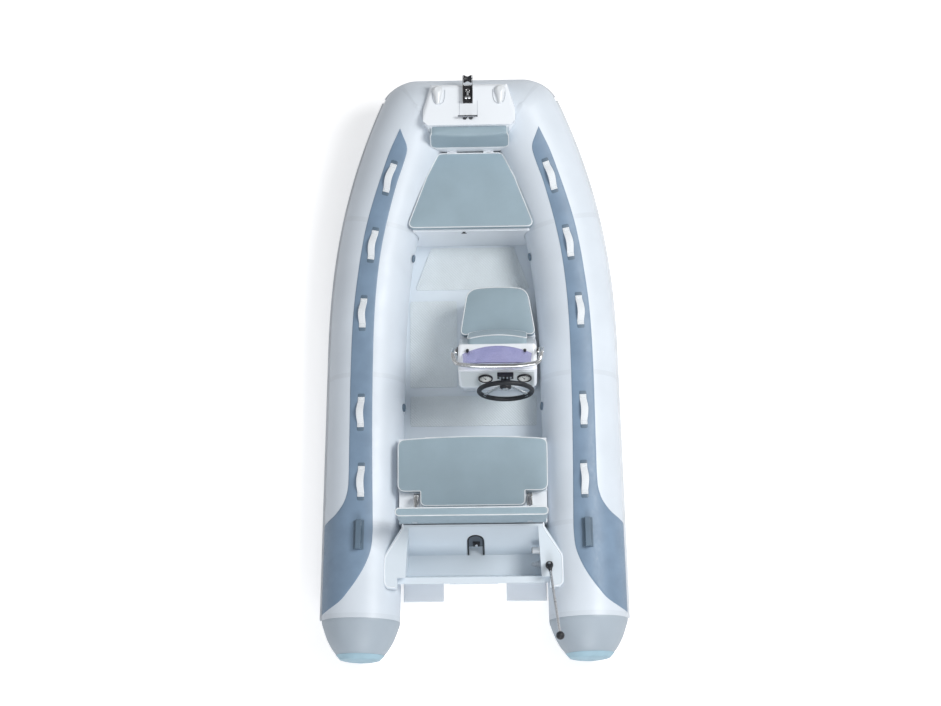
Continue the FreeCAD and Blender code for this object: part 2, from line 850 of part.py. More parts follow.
def transom():
    """The raked stern board from the keel to the motor notch, across to the tubes."""
    y = num.transom_place
    half = hull_half_section(y)[:-1]
    half += [(tube_x(y) - num.tube_radius / 2, num.hull_top), (num.transom_half_width, num.transom_top)]
    spots = [Vector(x, y, z) for x, z in half] + [Vector(-x, y, z) for x, z in half[:0:-1]]
    face = Part.Face(Part.makePolygon(spots + spots[:1]))
    prism = face.extrude(Vector(0, num.chine_half_width, 0))
    board = prism.common(aft_of_transom(num.transom_thickness)).cut(aft_of_transom(0))
    # A raised pad takes the motor's clamps
    clamp = Part.makeBox(2 * num.clamp_pad_half, num.clamp_pad_thickness + 1, num.clamp_pad_low - num.clamp_pad_high,
                         Vector(-num.clamp_pad_half, -num.clamp_pad_thickness, -num.clamp_pad_low))
    clamp.Placement = Placement(Vector(0, num.transom_place, num.transom_top), Rotation(X, num.transom_rake))
    keep("transom", cut("transom", feature("transom_board", board.fuse(clamp)), tube_space))


def stern_pads():
    """Two steps that carry the bottom aft of the transom."""
    y = num.transom_place
    solids = []
    for inner, outer in ((num.pad_inner, num.pad_outer), (-num.pad_outer, -num.pad_inner)):
        spots = [Vector(inner, y, num.pad_top), Vector(inner, y, bottom_height(y, abs(inner)) + 2),
                 Vector(outer, y, bottom_height(y, abs(outer)) + 2), Vector(outer, y, num.pad_top)]
        face = Part.Face(Part.makePolygon(spots + spots[:1]))
        face.translate(Vector(0, num.pad_aft - y, 0))
        step = face.extrude(Vector(0, num.chine_half_width, 0))
        solids.append(step.common(aft_of_transom(-num.seat_gap)))
    pads = feature("stern_pad_steps", Part.makeCompound(solids))
    keep("stern_pads", cut("stern_pads", pads, tube_space))


transom()
stern_pads()


# Deck moulding: floor, side decks, slanted bulkhead and motor well

floor_slab = block("floor_slab", (-dim.floor_half_width, dim.bulkhead_place + 14, dim.hull_top + dim.seat_gap),
                   (dim.floor_half_width, dim.locker_foot, dim.floor_top))
stern_front = dim.bulkhead_place + 14
stern_aft = dim.transom_place
stern_block = new_body("stern_block")
pad(stern_block, polygon_sketch(stern_block, "XY_Plane", dim.hull_top + dim.seat_gap, [
    (-dim.deck_edge_forward, stern_front), (-dim.deck_edge_forward, dim.bulkhead_place),
    (-dim.deck_edge_aft, dim.deck_edge_knee), (-dim.deck_edge_aft, stern_aft),
    (dim.deck_edge_aft, stern_aft), (dim.deck_edge_aft, dim.deck_edge_knee),
    (dim.deck_edge_forward, dim.bulkhead_place), (dim.deck_edge_forward, stern_front)]),
    dim.side_deck_top - dim.hull_top - dim.seat_gap)
well = new_body("motor_well")
pad(well, polygon_sketch(well, "XY_Plane", dim.well_floor, [
    (-dim.bulkhead_half_width, dim.bulkhead_place), (-dim.well_aft_half_width, stern_aft),
    (dim.well_aft_half_width, stern_aft), (dim.bulkhead_half_width, dim.bulkhead_place)]),
    dim.side_deck_top)
wedge = new_body("bulkhead_wedge")
pad(wedge, polygon_sketch(wedge, "YZ_Plane", -dim.tube_stern_half_spread, [
    (dim.bulkhead_place + 14, dim.hull_top), (dim.bulkhead_place + 14, dim.side_deck_top - 11),
    (dim.bulkhead_place, dim.side_deck_top - 11), (dim.bulkhead_foot, dim.well_floor),
    (dim.bulkhead_foot, dim.hull_top)]), 2 * dim.tube_stern_half_spread)
well_space = cut("well_space", cut("well_open", well, wedge), liner_space)
arch_space = new_body("arch_space")
pad(arch_space, polygon_sketch(arch_space, "YZ_Plane", dim.arch_centre - dim.arch_half_width, [
    (dim.bulkhead_foot - 20, dim.well_floor), (dim.bulkhead_foot - 20, dim.arch_top),
    (dim.bulkhead_foot + dim.arch_depth, dim.arch_top), (dim.bulkhead_foot + dim.arch_depth, dim.well_floor)]),
    2 * dim.arch_half_width)
round_edges(arch_space, dim.arch_half_width - 4,
            lambda edge: along(Y)(edge) and edge.BoundBox.ZMin > num.arch_top - 1)
stern_hollow = cut("stern_hollow", cut("stern_open", stern_block, well_space), arch_space)
stern_liner = cut("stern_liner", stern_hollow, stern_space)
wings = []
for name, side in SIDES:
    wing = new_body(f"{name}_deck_wing")
    pad(wing, polygon_sketch(wing, "XY_Plane", dim.transom_top + dim.seat_gap, [
        (side * dim.deck_wing_inner, dim.deck_edge_knee), (side * dim.deck_edge_aft, dim.deck_edge_knee),
        (side * dim.deck_edge_aft, dim.deck_wing_aft + 30), (side * (dim.deck_edge_aft - 22), dim.deck_wing_aft),
        (side * dim.deck_wing_inner, dim.deck_wing_aft)]),
        dim.side_deck_top - dim.transom_top - dim.seat_gap)
    wings.append(wing)
keep("deck_liner", cut("deck_liner", fuse("deck_block", floor_slab, stern_liner, *wings), tube_space))


def floor_pad(label, points):
    """A moulded non-skid panel."""
    body = new_body(f"{label}_panel")
    pad(body, polygon_sketch(body, "XY_Plane", dim.floor_top + dim.seat_gap, points),
        dim.floor_pad_thickness)
    round_edges(body, 14, along(Z))
    keep(label, body)


bow_pad_front = dim.locker_foot - dim.bow_pad_clearance
bow_pad_aft = bow_pad_front - dim.bow_pad_length
floor_pad("floor_pad_bow", [(-dim.bow_pad_front_half, bow_pad_front), (-dim.bow_pad_aft_half, bow_pad_aft),
                            (dim.bow_pad_aft_half, bow_pad_aft), (dim.bow_pad_front_half, bow_pad_front)])
floor_pad("floor_pad_port", [(-dim.port_pad_outer, dim.port_pad_front), (-dim.port_pad_outer, dim.port_pad_aft),
                             (-dim.port_pad_inner, dim.port_pad_aft), (-dim.port_pad_inner, dim.port_pad_front)])
floor_pad("floor_pad_aft", [(-dim.aft_pad_half, dim.aft_pad_front), (-dim.aft_pad_half, dim.aft_pad_aft),
                            (dim.aft_pad_half, dim.aft_pad_aft), (dim.aft_pad_half, dim.aft_pad_front)])


# Bow locker, its lid and cushion

bow_lid_aft = dim.locker_foot - dim.lid_overhang
locker_block = new_body("locker_block")
locker_back = dim.rest_foot_place - dim.seat_gap
pad(locker_block, polygon_sketch(locker_block, "XY_Plane", dim.hull_top, [
    (-dim.bow_lid_aft_half - 50, bow_lid_aft - 4), (dim.bow_lid_aft_half + 50, bow_lid_aft - 4),
    (dim.bow_lid_front_half + 50, locker_back), (-dim.bow_lid_front_half - 50, locker_back)]),
    dim.locker_top - dim.hull_top)
locker_space = new_body("locker_space")
pad(locker_space, polygon_sketch(locker_space, "XY_Plane", dim.hull_top - 5, [
    (-dim.bow_lid_aft_half + 40, bow_lid_aft + 16), (dim.bow_lid_aft_half - 40, bow_lid_aft + 16),
    (dim.bow_lid_front_half - 30, dim.bow_lid_front - 20),
    (-dim.bow_lid_front_half + 30, dim.bow_lid_front - 20)]), dim.locker_top)
# Below the bow deck the moulding closes the wedge between the hull and the bow tube
locker_nose = new_body("locker_nose")
pad(locker_nose, polygon_sketch(locker_nose, "XY_Plane", dim.hull_top, [
    (-dim.bow_lid_front_half - 50, locker_back), (dim.bow_lid_front_half + 50, locker_back),
    (dim.bow_lid_front_half, dim.deck_shoulder + 40), (-dim.bow_lid_front_half, dim.deck_shoulder + 40)]),
    dim.deck_underside - dim.seat_gap - dim.hull_top)
under_deck = new_body("under_deck")
pad(under_deck, polygon_sketch(under_deck, "YZ_Plane", -2 * dim.chine_half_width, [
    (0, -dim.keel_depth), (0, dim.hull_top + dim.seat_gap), (dim.locker_foot, dim.hull_top + dim.seat_gap),
    (dim.stem_place, dim.hull_top + dim.hull_bow_rise + dim.seat_gap), (dim.stem_place, -dim.keel_depth)]),
    4 * dim.chine_half_width)
locker_open = cut("locker_open", fuse("locker_whole", locker_block, locker_nose), locker_space)
locker_trim = cut("locker_trim", cut("locker_fit", locker_open, under_deck), tube_space)
slab_seat = block("slab_seat", (-dim.floor_half_width, 0, dim.hull_top - 5),
                  (dim.floor_half_width, dim.locker_foot + dim.seat_gap, dim.floor_top + dim.seat_gap))
keep("bow_locker", cut("bow_locker", locker_trim, slab_seat))


def barrels(name, places, y, z, fixed_leaves, moving_leaves):
    """Small barrel hinges on one line along X, with leaves given by their corners seen along X.

    The middle barrel and its pin stay; the outer barrels turn with the lid.
    """
    inner, outer, radius = num.barrel_inner, num.barrel_outer, num.barrel_radius

    def knuckle(low, high, leaves):
        plates = [Part.makeBox(high - low, far_y - near_y, far_z - near_z, Vector(low, near_y, near_z))
                  for near_y, near_z, far_y, far_z in leaves]
        return Part.makeCylinder(radius, high - low, Vector(low, y, z), X).fuse(plates)

    fixed, moving = [], []
    for x in places:
        pin = Part.makeCylinder(num.barrel_pin_radius, 2 * outer, Vector(x - outer, y, z), X)
        fixed.append(knuckle(x - inner, x + inner, fixed_leaves).fuse(pin))
        bore = Part.makeCylinder(num.barrel_pin_radius + num.seat_gap, 2 * outer + 2, Vector(x - outer - 1, y, z), X)
        for low, high in ((x - outer, x - inner - 1), (x + inner + 1, x + outer)):
            moving.append(knuckle(low, high, moving_leaves).cut(bore))
    return (feature(f"{name}_fixed_barrels", Part.makeCompound(fixed)),
            feature(f"{name}_lid_barrels", Part.makeCompound(moving)))


def bow_lid_outline(margin):
    return [(-dim.bow_lid_aft_half + margin, bow_lid_aft + margin),
            (dim.bow_lid_aft_half - margin, bow_lid_aft + margin),
            (dim.bow_lid_front_half - margin, dim.bow_lid_front - margin),
            (-dim.bow_lid_front_half + margin, dim.bow_lid_front - margin)]


swing_space = feature("swing_space", tube_ring(num.tube_radius + num.swing_gap))
lid = new_body("bow_lid_plate")
pad(lid, polygon_sketch(lid, "XY_Plane", dim.locker_top + dim.seat_gap, bow_lid_outline(0)), dim.lid_thickness)
round_edges(lid, 22, along(Z))
# The bow lid turns about the cushion's top forward edge, on tall leaves
bow_hinge_y = num.bow_lid_front + 4
bow_hinge_z = num.locker_top + num.lid_thickness + 2 * num.seat_gap + num.bow_cushion_thickness - 6
bow_fixed, bow_moving = barrels(
    "bow", (-110, 110), bow_hinge_y, bow_hinge_z,
    [(bow_hinge_y, bow_hinge_z - 3, num.rest_foot_place + 5, bow_hinge_z + 3)],
    [(num.bow_lid_front - 2, num.locker_top + 2, num.bow_lid_front, bow_hinge_z + 2),
     (num.bow_lid_front - 1, bow_hinge_z - 3, bow_hinge_y, bow_hinge_z + 2)])
keep("bow_seat_lid", fuse("bow_seat_lid", cut("bow_lid_trim", lid, swing_space), bow_moving))
cushion = new_body("bow_cushion_block")
bow_cushion_foot = dim.locker_top + dim.lid_thickness + 2 * dim.seat_gap
pad(cushion, polygon_sketch(cushion, "XY_Plane", bow_cushion_foot, bow_lid_outline(3)), dim.bow_cushion_thickness)
round_edges(cushion, 26, along(Z))
round_edges(cushion, 10, at_height(bow_cushion_foot + dim.bow_cushion_thickness))
keep("bow_seat_cushion", cut("bow_seat_cushion", cushion, swing_space))

# Bow deck moulding, backrest and fittings

deck_block = new_body("deck_block")
pad(deck_block, polygon_sketch(deck_block, "XY_Plane", dim.deck_underside, [
    (-dim.deck_front_half, dim.deck_front), (-dim.deck_wide_half, dim.deck_widest),
    (-dim.deck_wide_half, dim.deck_shoulder), (-dim.deck_aft_half, dim.deck_tuck),
    (-dim.deck_aft_half, dim.rest_foot_place), (dim.deck_aft_half, dim.rest_foot_place),
    (dim.deck_aft_half, dim.deck_tuck), (dim.deck_wide_half, dim.deck_shoulder),
    (dim.deck_wide_half, dim.deck_widest), (dim.deck_front_half, dim.deck_front)]),
    dim.deck_top - dim.deck_underside)
# The aft face leans forward behind the backrest; the pad's back lies on it
lean_run = dim.deck_aft - dim.rest_foot_place
rest_seat = dim.bow_rest_thickness + dim.seat_gap
pocket(deck_block, polygon_sketch(deck_block, "YZ_Plane", -dim.deck_wide_half - 5, [
    (dim.rest_foot_place - 5, dim.deck_underside - 5), (dim.rest_foot_place - 5, dim.deck_top + 5),
    (dim.deck_aft + rest_seat, dim.deck_top + 5), (dim.deck_aft + rest_seat, dim.deck_top - 8),
    (dim.rest_foot_place + rest_seat, dim.rest_foot_height), (dim.rest_foot_place + 3, dim.rest_foot_height),
    (dim.rest_foot_place + 3, dim.deck_underside - 5)], "Lean"), 2 * dim.deck_wide_half + 10, True)
round_edges(deck_block, 34, lambda edge: at_height(dim.deck_top)(edge) and edge.BoundBox.YMin > num.deck_widest - 1)
keep("bow_deck", fuse("bow_deck", cut("deck_trim", deck_block, tube_space), bow_fixed))

rest = new_body("bow_rest_block")
pad(rest, polygon_sketch(rest, "YZ_Plane", -dim.bow_rest_half, [
    (dim.rest_foot_place, dim.rest_foot_height), (dim.deck_aft, dim.deck_top - 5),
    (dim.deck_aft + dim.bow_rest_thickness, dim.deck_top - 5),
    (dim.rest_foot_place + dim.bow_rest_thickness, dim.rest_foot_height)]), 2 * dim.bow_rest_half)
round_edges(rest, 9, along(X))
keep("bow_backrest_cushion", cut("bow_backrest_cushion", rest, tube_space))


def fairings():
    """Two teardrop housings for the side lights, blunt end forward."""
    solids = []
    for side in (-1, 1):
        radius = num.fairing_width / 2
        nose = Vector(side * num.fairing_spread, num.deck_front - 18 - radius, num.deck_top + num.seat_gap)
        tail = nose - Vector(0, num.fairing_length - radius, 0)
        ball = Part.makeSphere(radius, nose)
        point = Part.makeCone(radius, radius * 0.45, (tail - nose).Length, nose, -Y)
        end = Part.makeSphere(radius * 0.45, tail)
        whole = ball.fuse([point, end])
        keeper = Part.makeBox(4 * radius, 3 * num.fairing_length, num.fairing_height,
                              nose - Vector(2 * radius, 2 * num.fairing_length, 0))
        solids.append(whole.common(keeper))
    lens = Part.makeCompound(solids)
    keep("side_light_housings", feature("side_light_housings", lens))


fairings()

channel = new_body("roller_channel")
channel_floor = dim.deck_top + dim.seat_gap
half_channel = dim.channel_width / 2
pad(channel, polygon_sketch(channel, "XY_Plane", channel_floor, [
    (dim.anchor_line - half_channel, dim.channel_aft), (dim.anchor_line + half_channel, dim.channel_aft),
    (dim.anchor_line + half_channel, dim.channel_front), (dim.anchor_line - half_channel, dim.channel_front)]),
    dim.channel_depth)
inner_channel = half_channel - dim.channel_wall
pocket(channel, polygon_sketch(channel, "XY_Plane", channel_floor + dim.channel_wall, [
    (dim.anchor_line - inner_channel, dim.channel_aft - 5), (dim.anchor_line + inner_channel, dim.channel_aft - 5),
    (dim.anchor_line + inner_channel, dim.channel_front + 5), (dim.anchor_line - inner_channel, dim.channel_front + 5)],
    "Trough"), dim.channel_depth, True)
roller_place = dim.channel_front - 24
roller_height = channel_floor + dim.channel_wall + dim.roller_radius + 6
pocket(channel, polygon_sketch(channel, "XY_Plane", channel_floor - 5, [
    (dim.anchor_line - inner_channel, roller_place - dim.roller_radius - 8),
    (dim.anchor_line + inner_channel, roller_place - dim.roller_radius - 8),
    (dim.anchor_line + inner_channel, dim.channel_front + 5), (dim.anchor_line - inner_channel, dim.channel_front + 5)],
    "Slot"), dim.channel_wall + 10, True)
pin = axis_cylinder("roller_pin", as_size(4), dim.channel_width,
                    (dim.anchor_line - half_channel, roller_place, roller_height), X)
keep("anchor_roller_channel", fuse("anchor_roller_channel", channel, pin))
roller_disc = axis_cylinder("roller_disc", dim.roller_radius, dim.roller_width,
                            (dim.anchor_line - dim.roller_width / 2, roller_place, roller_height), X)
roller_bore = axis_cylinder("roller_bore", as_size(4.5), dim.roller_width + 10,
                            (dim.anchor_line - dim.roller_width / 2 - 5, roller_place, roller_height), X)
keep("anchor_roller", cut("anchor_roller", roller_disc, roller_bore))


def cleat():
    """A two-horned mooring cleat on two feet."""
    top, radius = num.deck_top + num.seat_gap, 6.0
    bar_height = top + num.cleat_height - radius
    left = Vector(num.anchor_line - num.cleat_length / 2, num.cleat_place, bar_height)
    bar = Part.makeCylinder(radius, num.cleat_length, left, X)
    feet = []
    for shift in (-18, 18):
        foot = Vector(num.anchor_line + shift, num.cleat_place, top)
        feet.append(Part.makeCylinder(radius, num.cleat_height - radius, foot))
        feet.append(Part.makeCylinder(13, 4, foot))
    keep("bow_cleat", feature("bow_cleat", bar.fuse(feet).removeSplitter()))


cleat()


# Console: locker with seat in front, helm behind

deck_seat = dim.floor_top + dim.seat_gap
console_front = [
    (dim.console_front_foot, deck_seat), (dim.console_front_foot, dim.console_front_knee_height),
    (dim.console_front_top, dim.console_top), (dim.console_top_aft, dim.console_top),
    (dim.panel_foot_place, dim.panel_foot_height), (dim.console_foot_aft, dim.panel_foot_height - dim.pod_depth),
    (dim.console_foot_aft, deck_seat)]
console_left = dim.console_centre - dim.console_half_width
console = new_body("console_shell")
pad(console, polygon_sketch(console, "YZ_Plane", console_left, console_front), 2 * dim.console_half_width)
round_edges(console, 24, lambda edge: not along(X)(edge) and not at_height(deck_seat)(edge)
            and not edge.BoundBox.ZMax < num.floor_top + 1)
round_edges(console, 8, lambda edge: along(X)(edge) and edge.BoundBox.ZMin > num.console_top - 1)
keep("console", console)

seat_foot_top = dim.seat_cushion_top - dim.seat_cushion_thickness - dim.lid_thickness - 2 * dim.seat_gap
box_aft = dim.console_front_foot + dim.seat_gap


def seat_outline(margin, aft):
    """Plan of the front locker: a rounded nose that narrows forward."""
    wide, narrow = dim.console_half_width - 4 - margin, dim.seat_box_front_half - margin
    front = dim.seat_cushion_front - 14 - margin
    return [(dim.console_centre - wide, aft), (dim.console_centre + wide, aft),
            (dim.console_centre + narrow, front), (dim.console_centre - narrow, front)]


seat_box = new_body("seat_box")
pad(seat_box, polygon_sketch(seat_box, "XY_Plane", deck_seat, seat_outline(0, box_aft)), seat_foot_top - deck_seat)
round_edges(seat_box, 60, lambda edge: along(Z)(edge) and edge.BoundBox.YMin > num.seat_box_front - 60)
pocket(seat_box, polygon_sketch(seat_box, "XY_Plane", deck_seat + 10, seat_outline(10, box_aft + 10), "Hold"),
       dim.seat_cushion_top, True)
seat_lid = new_body("seat_lid_plate")
pad(seat_lid, polygon_sketch(seat_lid, "XY_Plane", seat_foot_top + dim.seat_gap, seat_outline(0, box_aft + 10)),
    dim.lid_thickness)
round_edges(seat_lid, 60, lambda edge: along(Z)(edge) and edge.BoundBox.YMin > num.seat_box_front - 60)
seat_front = num.seat_cushion_front - 14
seat_hinge_z = num.seat_cushion_top - num.seat_cushion_thickness - 4
seat_fixed, seat_moving = barrels(
    "seat", (num.console_centre - 75, num.console_centre + 75), seat_front + 10, seat_hinge_z,
    [(seat_front - 1, seat_hinge_z - 40, seat_front + 6, seat_hinge_z - 14),
     (seat_front + 4, seat_hinge_z - 20, seat_front + 10, seat_hinge_z)],
    [(seat_front - 1, seat_hinge_z - 2, seat_front + 10, seat_hinge_z + 2)])
keep("console_seat_box", fuse("console_seat_box", seat_box, seat_fixed))
keep("console_seat_lid", fuse("console_seat_lid", seat_lid, seat_moving))
seat_pad = new_body("seat_cushion_block")
seat_pad_foot = dim.seat_cushion_top - dim.seat_cushion_thickness
pad(seat_pad, polygon_sketch(seat_pad, "XY_Plane", seat_pad_foot, seat_outline(-2, dim.seat_cushion_aft)),
    dim.seat_cushion_thickness)
round_edges(seat_pad, 62, lambda edge: along(Z)(edge) and edge.BoundBox.YMin > num.seat_box_front - 60)
round_edges(seat_pad, 20, lambda edge: along(Z)(edge) and edge.BoundBox.YMax < num.seat_cushion_aft + 1)
round_edges(seat_pad, 12, at_height(dim.seat_cushion_top))
keep("console_seat_cushion", seat_pad)

# The helm seat's forward-facing pad lies on the leaning front of the console
lean = math.degrees(math.atan2(num.console_front_foot - num.console_front_top,
                               num.console_top - num.console_front_knee_height))


def lean_spot(share):
    """A point on the leaning front, as a share of the way up."""
    return (dim.console_front_foot + (dim.console_front_top - dim.console_front_foot) * share,
            dim.console_front_knee_height + (dim.console_top - dim.console_front_knee_height) * share)


rest_pad = new_body("console_rest_block")
foot_y, foot_z = lean_spot(0.16)
head_y, head_z = lean_spot(0.92)
off_y, off_z = dim.seat_gap, dim.seat_gap
pad_y, pad_z = dim.rest_pad_thickness, dim.rest_pad_thickness * 0.42
pad(rest_pad, polygon_sketch(rest_pad, "YZ_Plane", dim.console_centre - dim.rest_pad_half, [
    (foot_y + off_y, foot_z + off_z), (foot_y + pad_y, foot_z + pad_z),
    (head_y + pad_y, head_z + pad_z), (head_y + off_y, head_z + off_z)]), 2 * dim.rest_pad_half)
keep("console_backrest_cushion", rest_pad)


def windshield():
    """A tinted screen, curved along its foot, that leans aft over the dash."""
    foot = num.console_top + num.seat_gap

    def bow(half, middle, sweep, height):
        left = Vector(num.console_centre - half, middle - sweep, height)
        right = Vector(num.console_centre + half, middle - sweep, height)
        return Part.Arc(left, Vector(num.console_centre, middle, height), right)

    low = bow(num.screen_half_width, num.screen_front, num.screen_sweep, foot)
    high = bow(num.screen_half_width - 8, num.screen_aft, 4, foot + num.screen_height)
    skin = Part.makeRuledSurface(low.toShape(), high.toShape())
    keep("windshield", feature("windshield", skin.extrude(Vector(0, -num.screen_thickness, 0))))


windshield()


def rail():
    """A stainless tube behind the screen, with legs that run forward to the console's sides."""
    side_x, radius, top = num.rail_half_width, num.rail_radius, num.rail_height
    centre = num.console_centre
    foot_height = num.console_top - num.rail_foot_drop

    def spot(share, y, z):
        return Vector(centre + share * side_x, y, z)

    port = [(1, num.rail_front, foot_height), (1, num.rail_front - 12, top - 70), (1, num.rail_front - 66, top),
            (0.94, num.rail_aft, top), (0.5, num.rail_aft - num.rail_bow, top)]
    points = [spot(-share, y, z) for share, y, z in port] + [spot(*row) for row in port[::-1]]
    bar = pipe(route(points, 0.45), radius)
    feet = []
    for share in (-1, 1):
        plate_x = centre + share * (num.console_half_width + num.seat_gap)
        foot = spot(share, num.rail_front, foot_height)
        reach = abs(foot.x - plate_x) + radius + 4
        feet.append(Part.makeCylinder(radius + 5, reach, Vector(plate_x, foot.y, foot.z), X * share))
    keep("console_rail", feature("console_rail", bar.fuse(feet)))


rail()

# Dash fittings lie on the slanted helm panel
panel_turn = math.degrees(math.atan2(num.console_top_aft - num.panel_foot_place,
                                     num.console_top - num.panel_foot_height))


def on_panel(shape, x, height, lift=0.0):
    """Seat a shape, made about the origin with +Z outward, on the helm panel."""
    share = (height - num.panel_foot_height) / (num.console_top - num.panel_foot_height)
    y = num.panel_foot_place + (num.console_top_aft - num.panel_foot_place) * share
    turn = Rotation(X, 90 - panel_turn)
    out = turn.multVec(Z)
    shape.Placement = Placement(Vector(x, y, height) + out * (num.seat_gap + lift), turn)
    return shape


def wheel_frame():
    """Rotation from the wheel's own plane to its place at the helm: +Z is the shaft, outward."""
    return Placement(Vector(num.wheel_x, num.wheel_place, num.wheel_height), Rotation(X, 90 - num.wheel_rake))


def dash():
    """The inlaid panel with its two gauges and the switch box."""
    half, rise, thick = num.dash_plate_half, num.dash_plate_rise, num.dash_plate_thickness
    plate = on_panel(Part.makeBox(2 * half, rise, thick, Vector(-half, -rise / 2, 0)),
                     num.console_centre, num.dash_plate_height)
    hole = Part.makeCylinder(num.column_radius + 2 * num.seat_gap, 200, Vector(0, 0, -200))
    hole.Placement = wheel_frame()
    keep("dash_plate", feature("dash_plate", plate.cut(hole)))
    lift = thick + num.seat_gap
    gauge = Part.makeCylinder(num.gauge_radius, num.gauge_depth)
    gauge = gauge.makeFillet(4, [gauge.Edges[0]])
    keep("gauges", feature("gauges", Part.makeCompound([
        on_panel(gauge.copy(), num.console_centre + shift, num.gauge_height, lift)
        for shift in (-num.gauge_port_offset, num.gauge_starboard_offset)])))
    wide, tall = num.switch_width, num.switch_rise
    box = Part.makeBox(wide, tall, num.switch_depth, Vector(-wide / 2, -tall / 2, 0))
    keep("switch_box", feature("switch_box", on_panel(box, num.wheel_x, num.switch_height, lift)))


dash()


def steering_wheel():
    rim = Part.makeTorus(num.wheel_radius - num.wheel_rim_radius, num.wheel_rim_radius)
    hub = Part.makeCylinder(num.wheel_hub_radius, 30, Vector(0, 0, -num.wheel_dish - 10))
    hub = hub.makeFillet(6, [hub.Edges[0]])
    spokes = []
    for turn in (90, 210, 330):
        start = Vector(num.wheel_hub_radius - 6, 0, -num.wheel_dish)
        end = Vector(num.wheel_radius - num.wheel_rim_radius, 0, 0)
        side = Vector(0, num.spoke_width / 2, 0)
        face = Part.Face(Part.makePolygon([start - side, start + side, end + side, end - side, start - side]))
        spoke = face.extrude(Vector(0, 0, num.spoke_thickness))
        spoke.rotate(Vector(0, 0, 0), Z, turn)
        spokes.append(spoke)
    bore = Part.makeCylinder(num.shaft_radius + num.seat_gap, 20, Vector(0, 0, -num.wheel_dish - 14))
    whole = rim.fuse([hub, *spokes]).cut(bore).removeSplitter()
    whole.Placement = wheel_frame()
    keep("steering_wheel", feature("steering_wheel", whole))


def steering_column():
    """The helm boss that the wheel's shaft comes out of."""
    start = -num.wheel_dish - 10 - 6
    column = Part.makeCylinder(num.column_radius, 90, Vector(0, 0, start - 90))
    shaft = Part.makeCylinder(num.shaft_radius, 26, Vector(0, 0, start - 4))
    shape = column.fuse(shaft).removeSplitter()
    shape.Placement = wheel_frame()
    keep("steering_column", cut("steering_column", feature("column_blank", shape), console))


steering_wheel()
steering_column()


# Aft seat: a hollow moulded box, a lid that tips forward, a folding backrest

aft_left, aft_right = -dim.aft_box_half, dim.aft_box_half
aft_box = block("aft_box", (aft_left, dim.aft_box_aft, deck_seat), (aft_right, dim.aft_box_front, dim.aft_box_top))
aft_hold = block("aft_hold", (aft_left + 44, dim.aft_cushion_aft + 20, deck_seat + 10),
                 (aft_right - 44, dim.aft_box_front - 24, dim.aft_box_top + 10))
aft_hollow = cut("aft_hollow", aft_box, aft_hold)
aft_hinge_y, aft_hinge_z = num.aft_cushion_front + 5, num.aft_box_top + 6
aft_fixed, aft_moving = barrels(
    "aft", (-250, 250), aft_hinge_y, aft_hinge_z,
    [(num.aft_box_front - 1, aft_hinge_z - 30, aft_hinge_y + 3, aft_hinge_z - 9),
     (aft_hinge_y - 3, aft_hinge_z - 12, aft_hinge_y + 3, aft_hinge_z)],
    [(num.aft_cushion_front - 5, aft_hinge_z - 2, aft_hinge_y, aft_hinge_z + 2)])
keep("aft_seat_box", fuse("aft_seat_box", cut("aft_box_trim", aft_hollow, tube_space), aft_fixed))


def aft_outline(margin):
    """Plan of the bench with a notch at each aft corner for the backrest's brackets."""
    half, tongue = dim.aft_cushion_half - margin, dim.aft_tongue_half - margin
    front, back, tip = (dim.aft_cushion_front - margin, dim.aft_cushion_aft + margin,
                        dim.aft_tongue_aft + margin)
    return [(-half, front), (-half, back), (-tongue, back), (-tongue, tip), (tongue, tip),
            (tongue, back), (half, back), (half, front)]


aft_lid = new_body("aft_lid_plate")
pad(aft_lid, polygon_sketch(aft_lid, "XY_Plane", dim.aft_box_top + dim.seat_gap, aft_outline(4)), dim.lid_thickness)
keep("aft_seat_lid", fuse("aft_seat_lid", cut("aft_lid_trim", aft_lid, swing_space), aft_moving))
aft_pad = new_body("aft_cushion_block")
aft_pad_foot = dim.aft_box_top + dim.lid_thickness + 2 * dim.seat_gap
pad(aft_pad, polygon_sketch(aft_pad, "XY_Plane", aft_pad_foot, aft_outline(0)), dim.aft_cushion_thickness)
round_edges(aft_pad, 30, lambda edge: along(Z)(edge) and abs(edge.BoundBox.XMin) > num.aft_cushion_half - 1)
round_edges(aft_pad, 9, at_height(aft_pad_foot + dim.aft_cushion_thickness))
keep("aft_seat_cushion", cut("aft_seat_cushion", aft_pad, swing_space))

aft_rest = new_body("aft_rest_block")
rest_back = dim.aft_rest_front - dim.aft_rest_thickness
pad(aft_rest, polygon_sketch(aft_rest, "XY_Plane", dim.aft_rest_foot, [
    (-dim.aft_rest_half, rest_back), (dim.aft_rest_half, rest_back),
    (dim.aft_rest_half, dim.aft_rest_front), (-dim.aft_rest_half, dim.aft_rest_front)]),
    dim.aft_rest_top - dim.aft_rest_foot)
round_edges(aft_rest, 21, along(Z))
keep("aft_backrest", aft_rest)


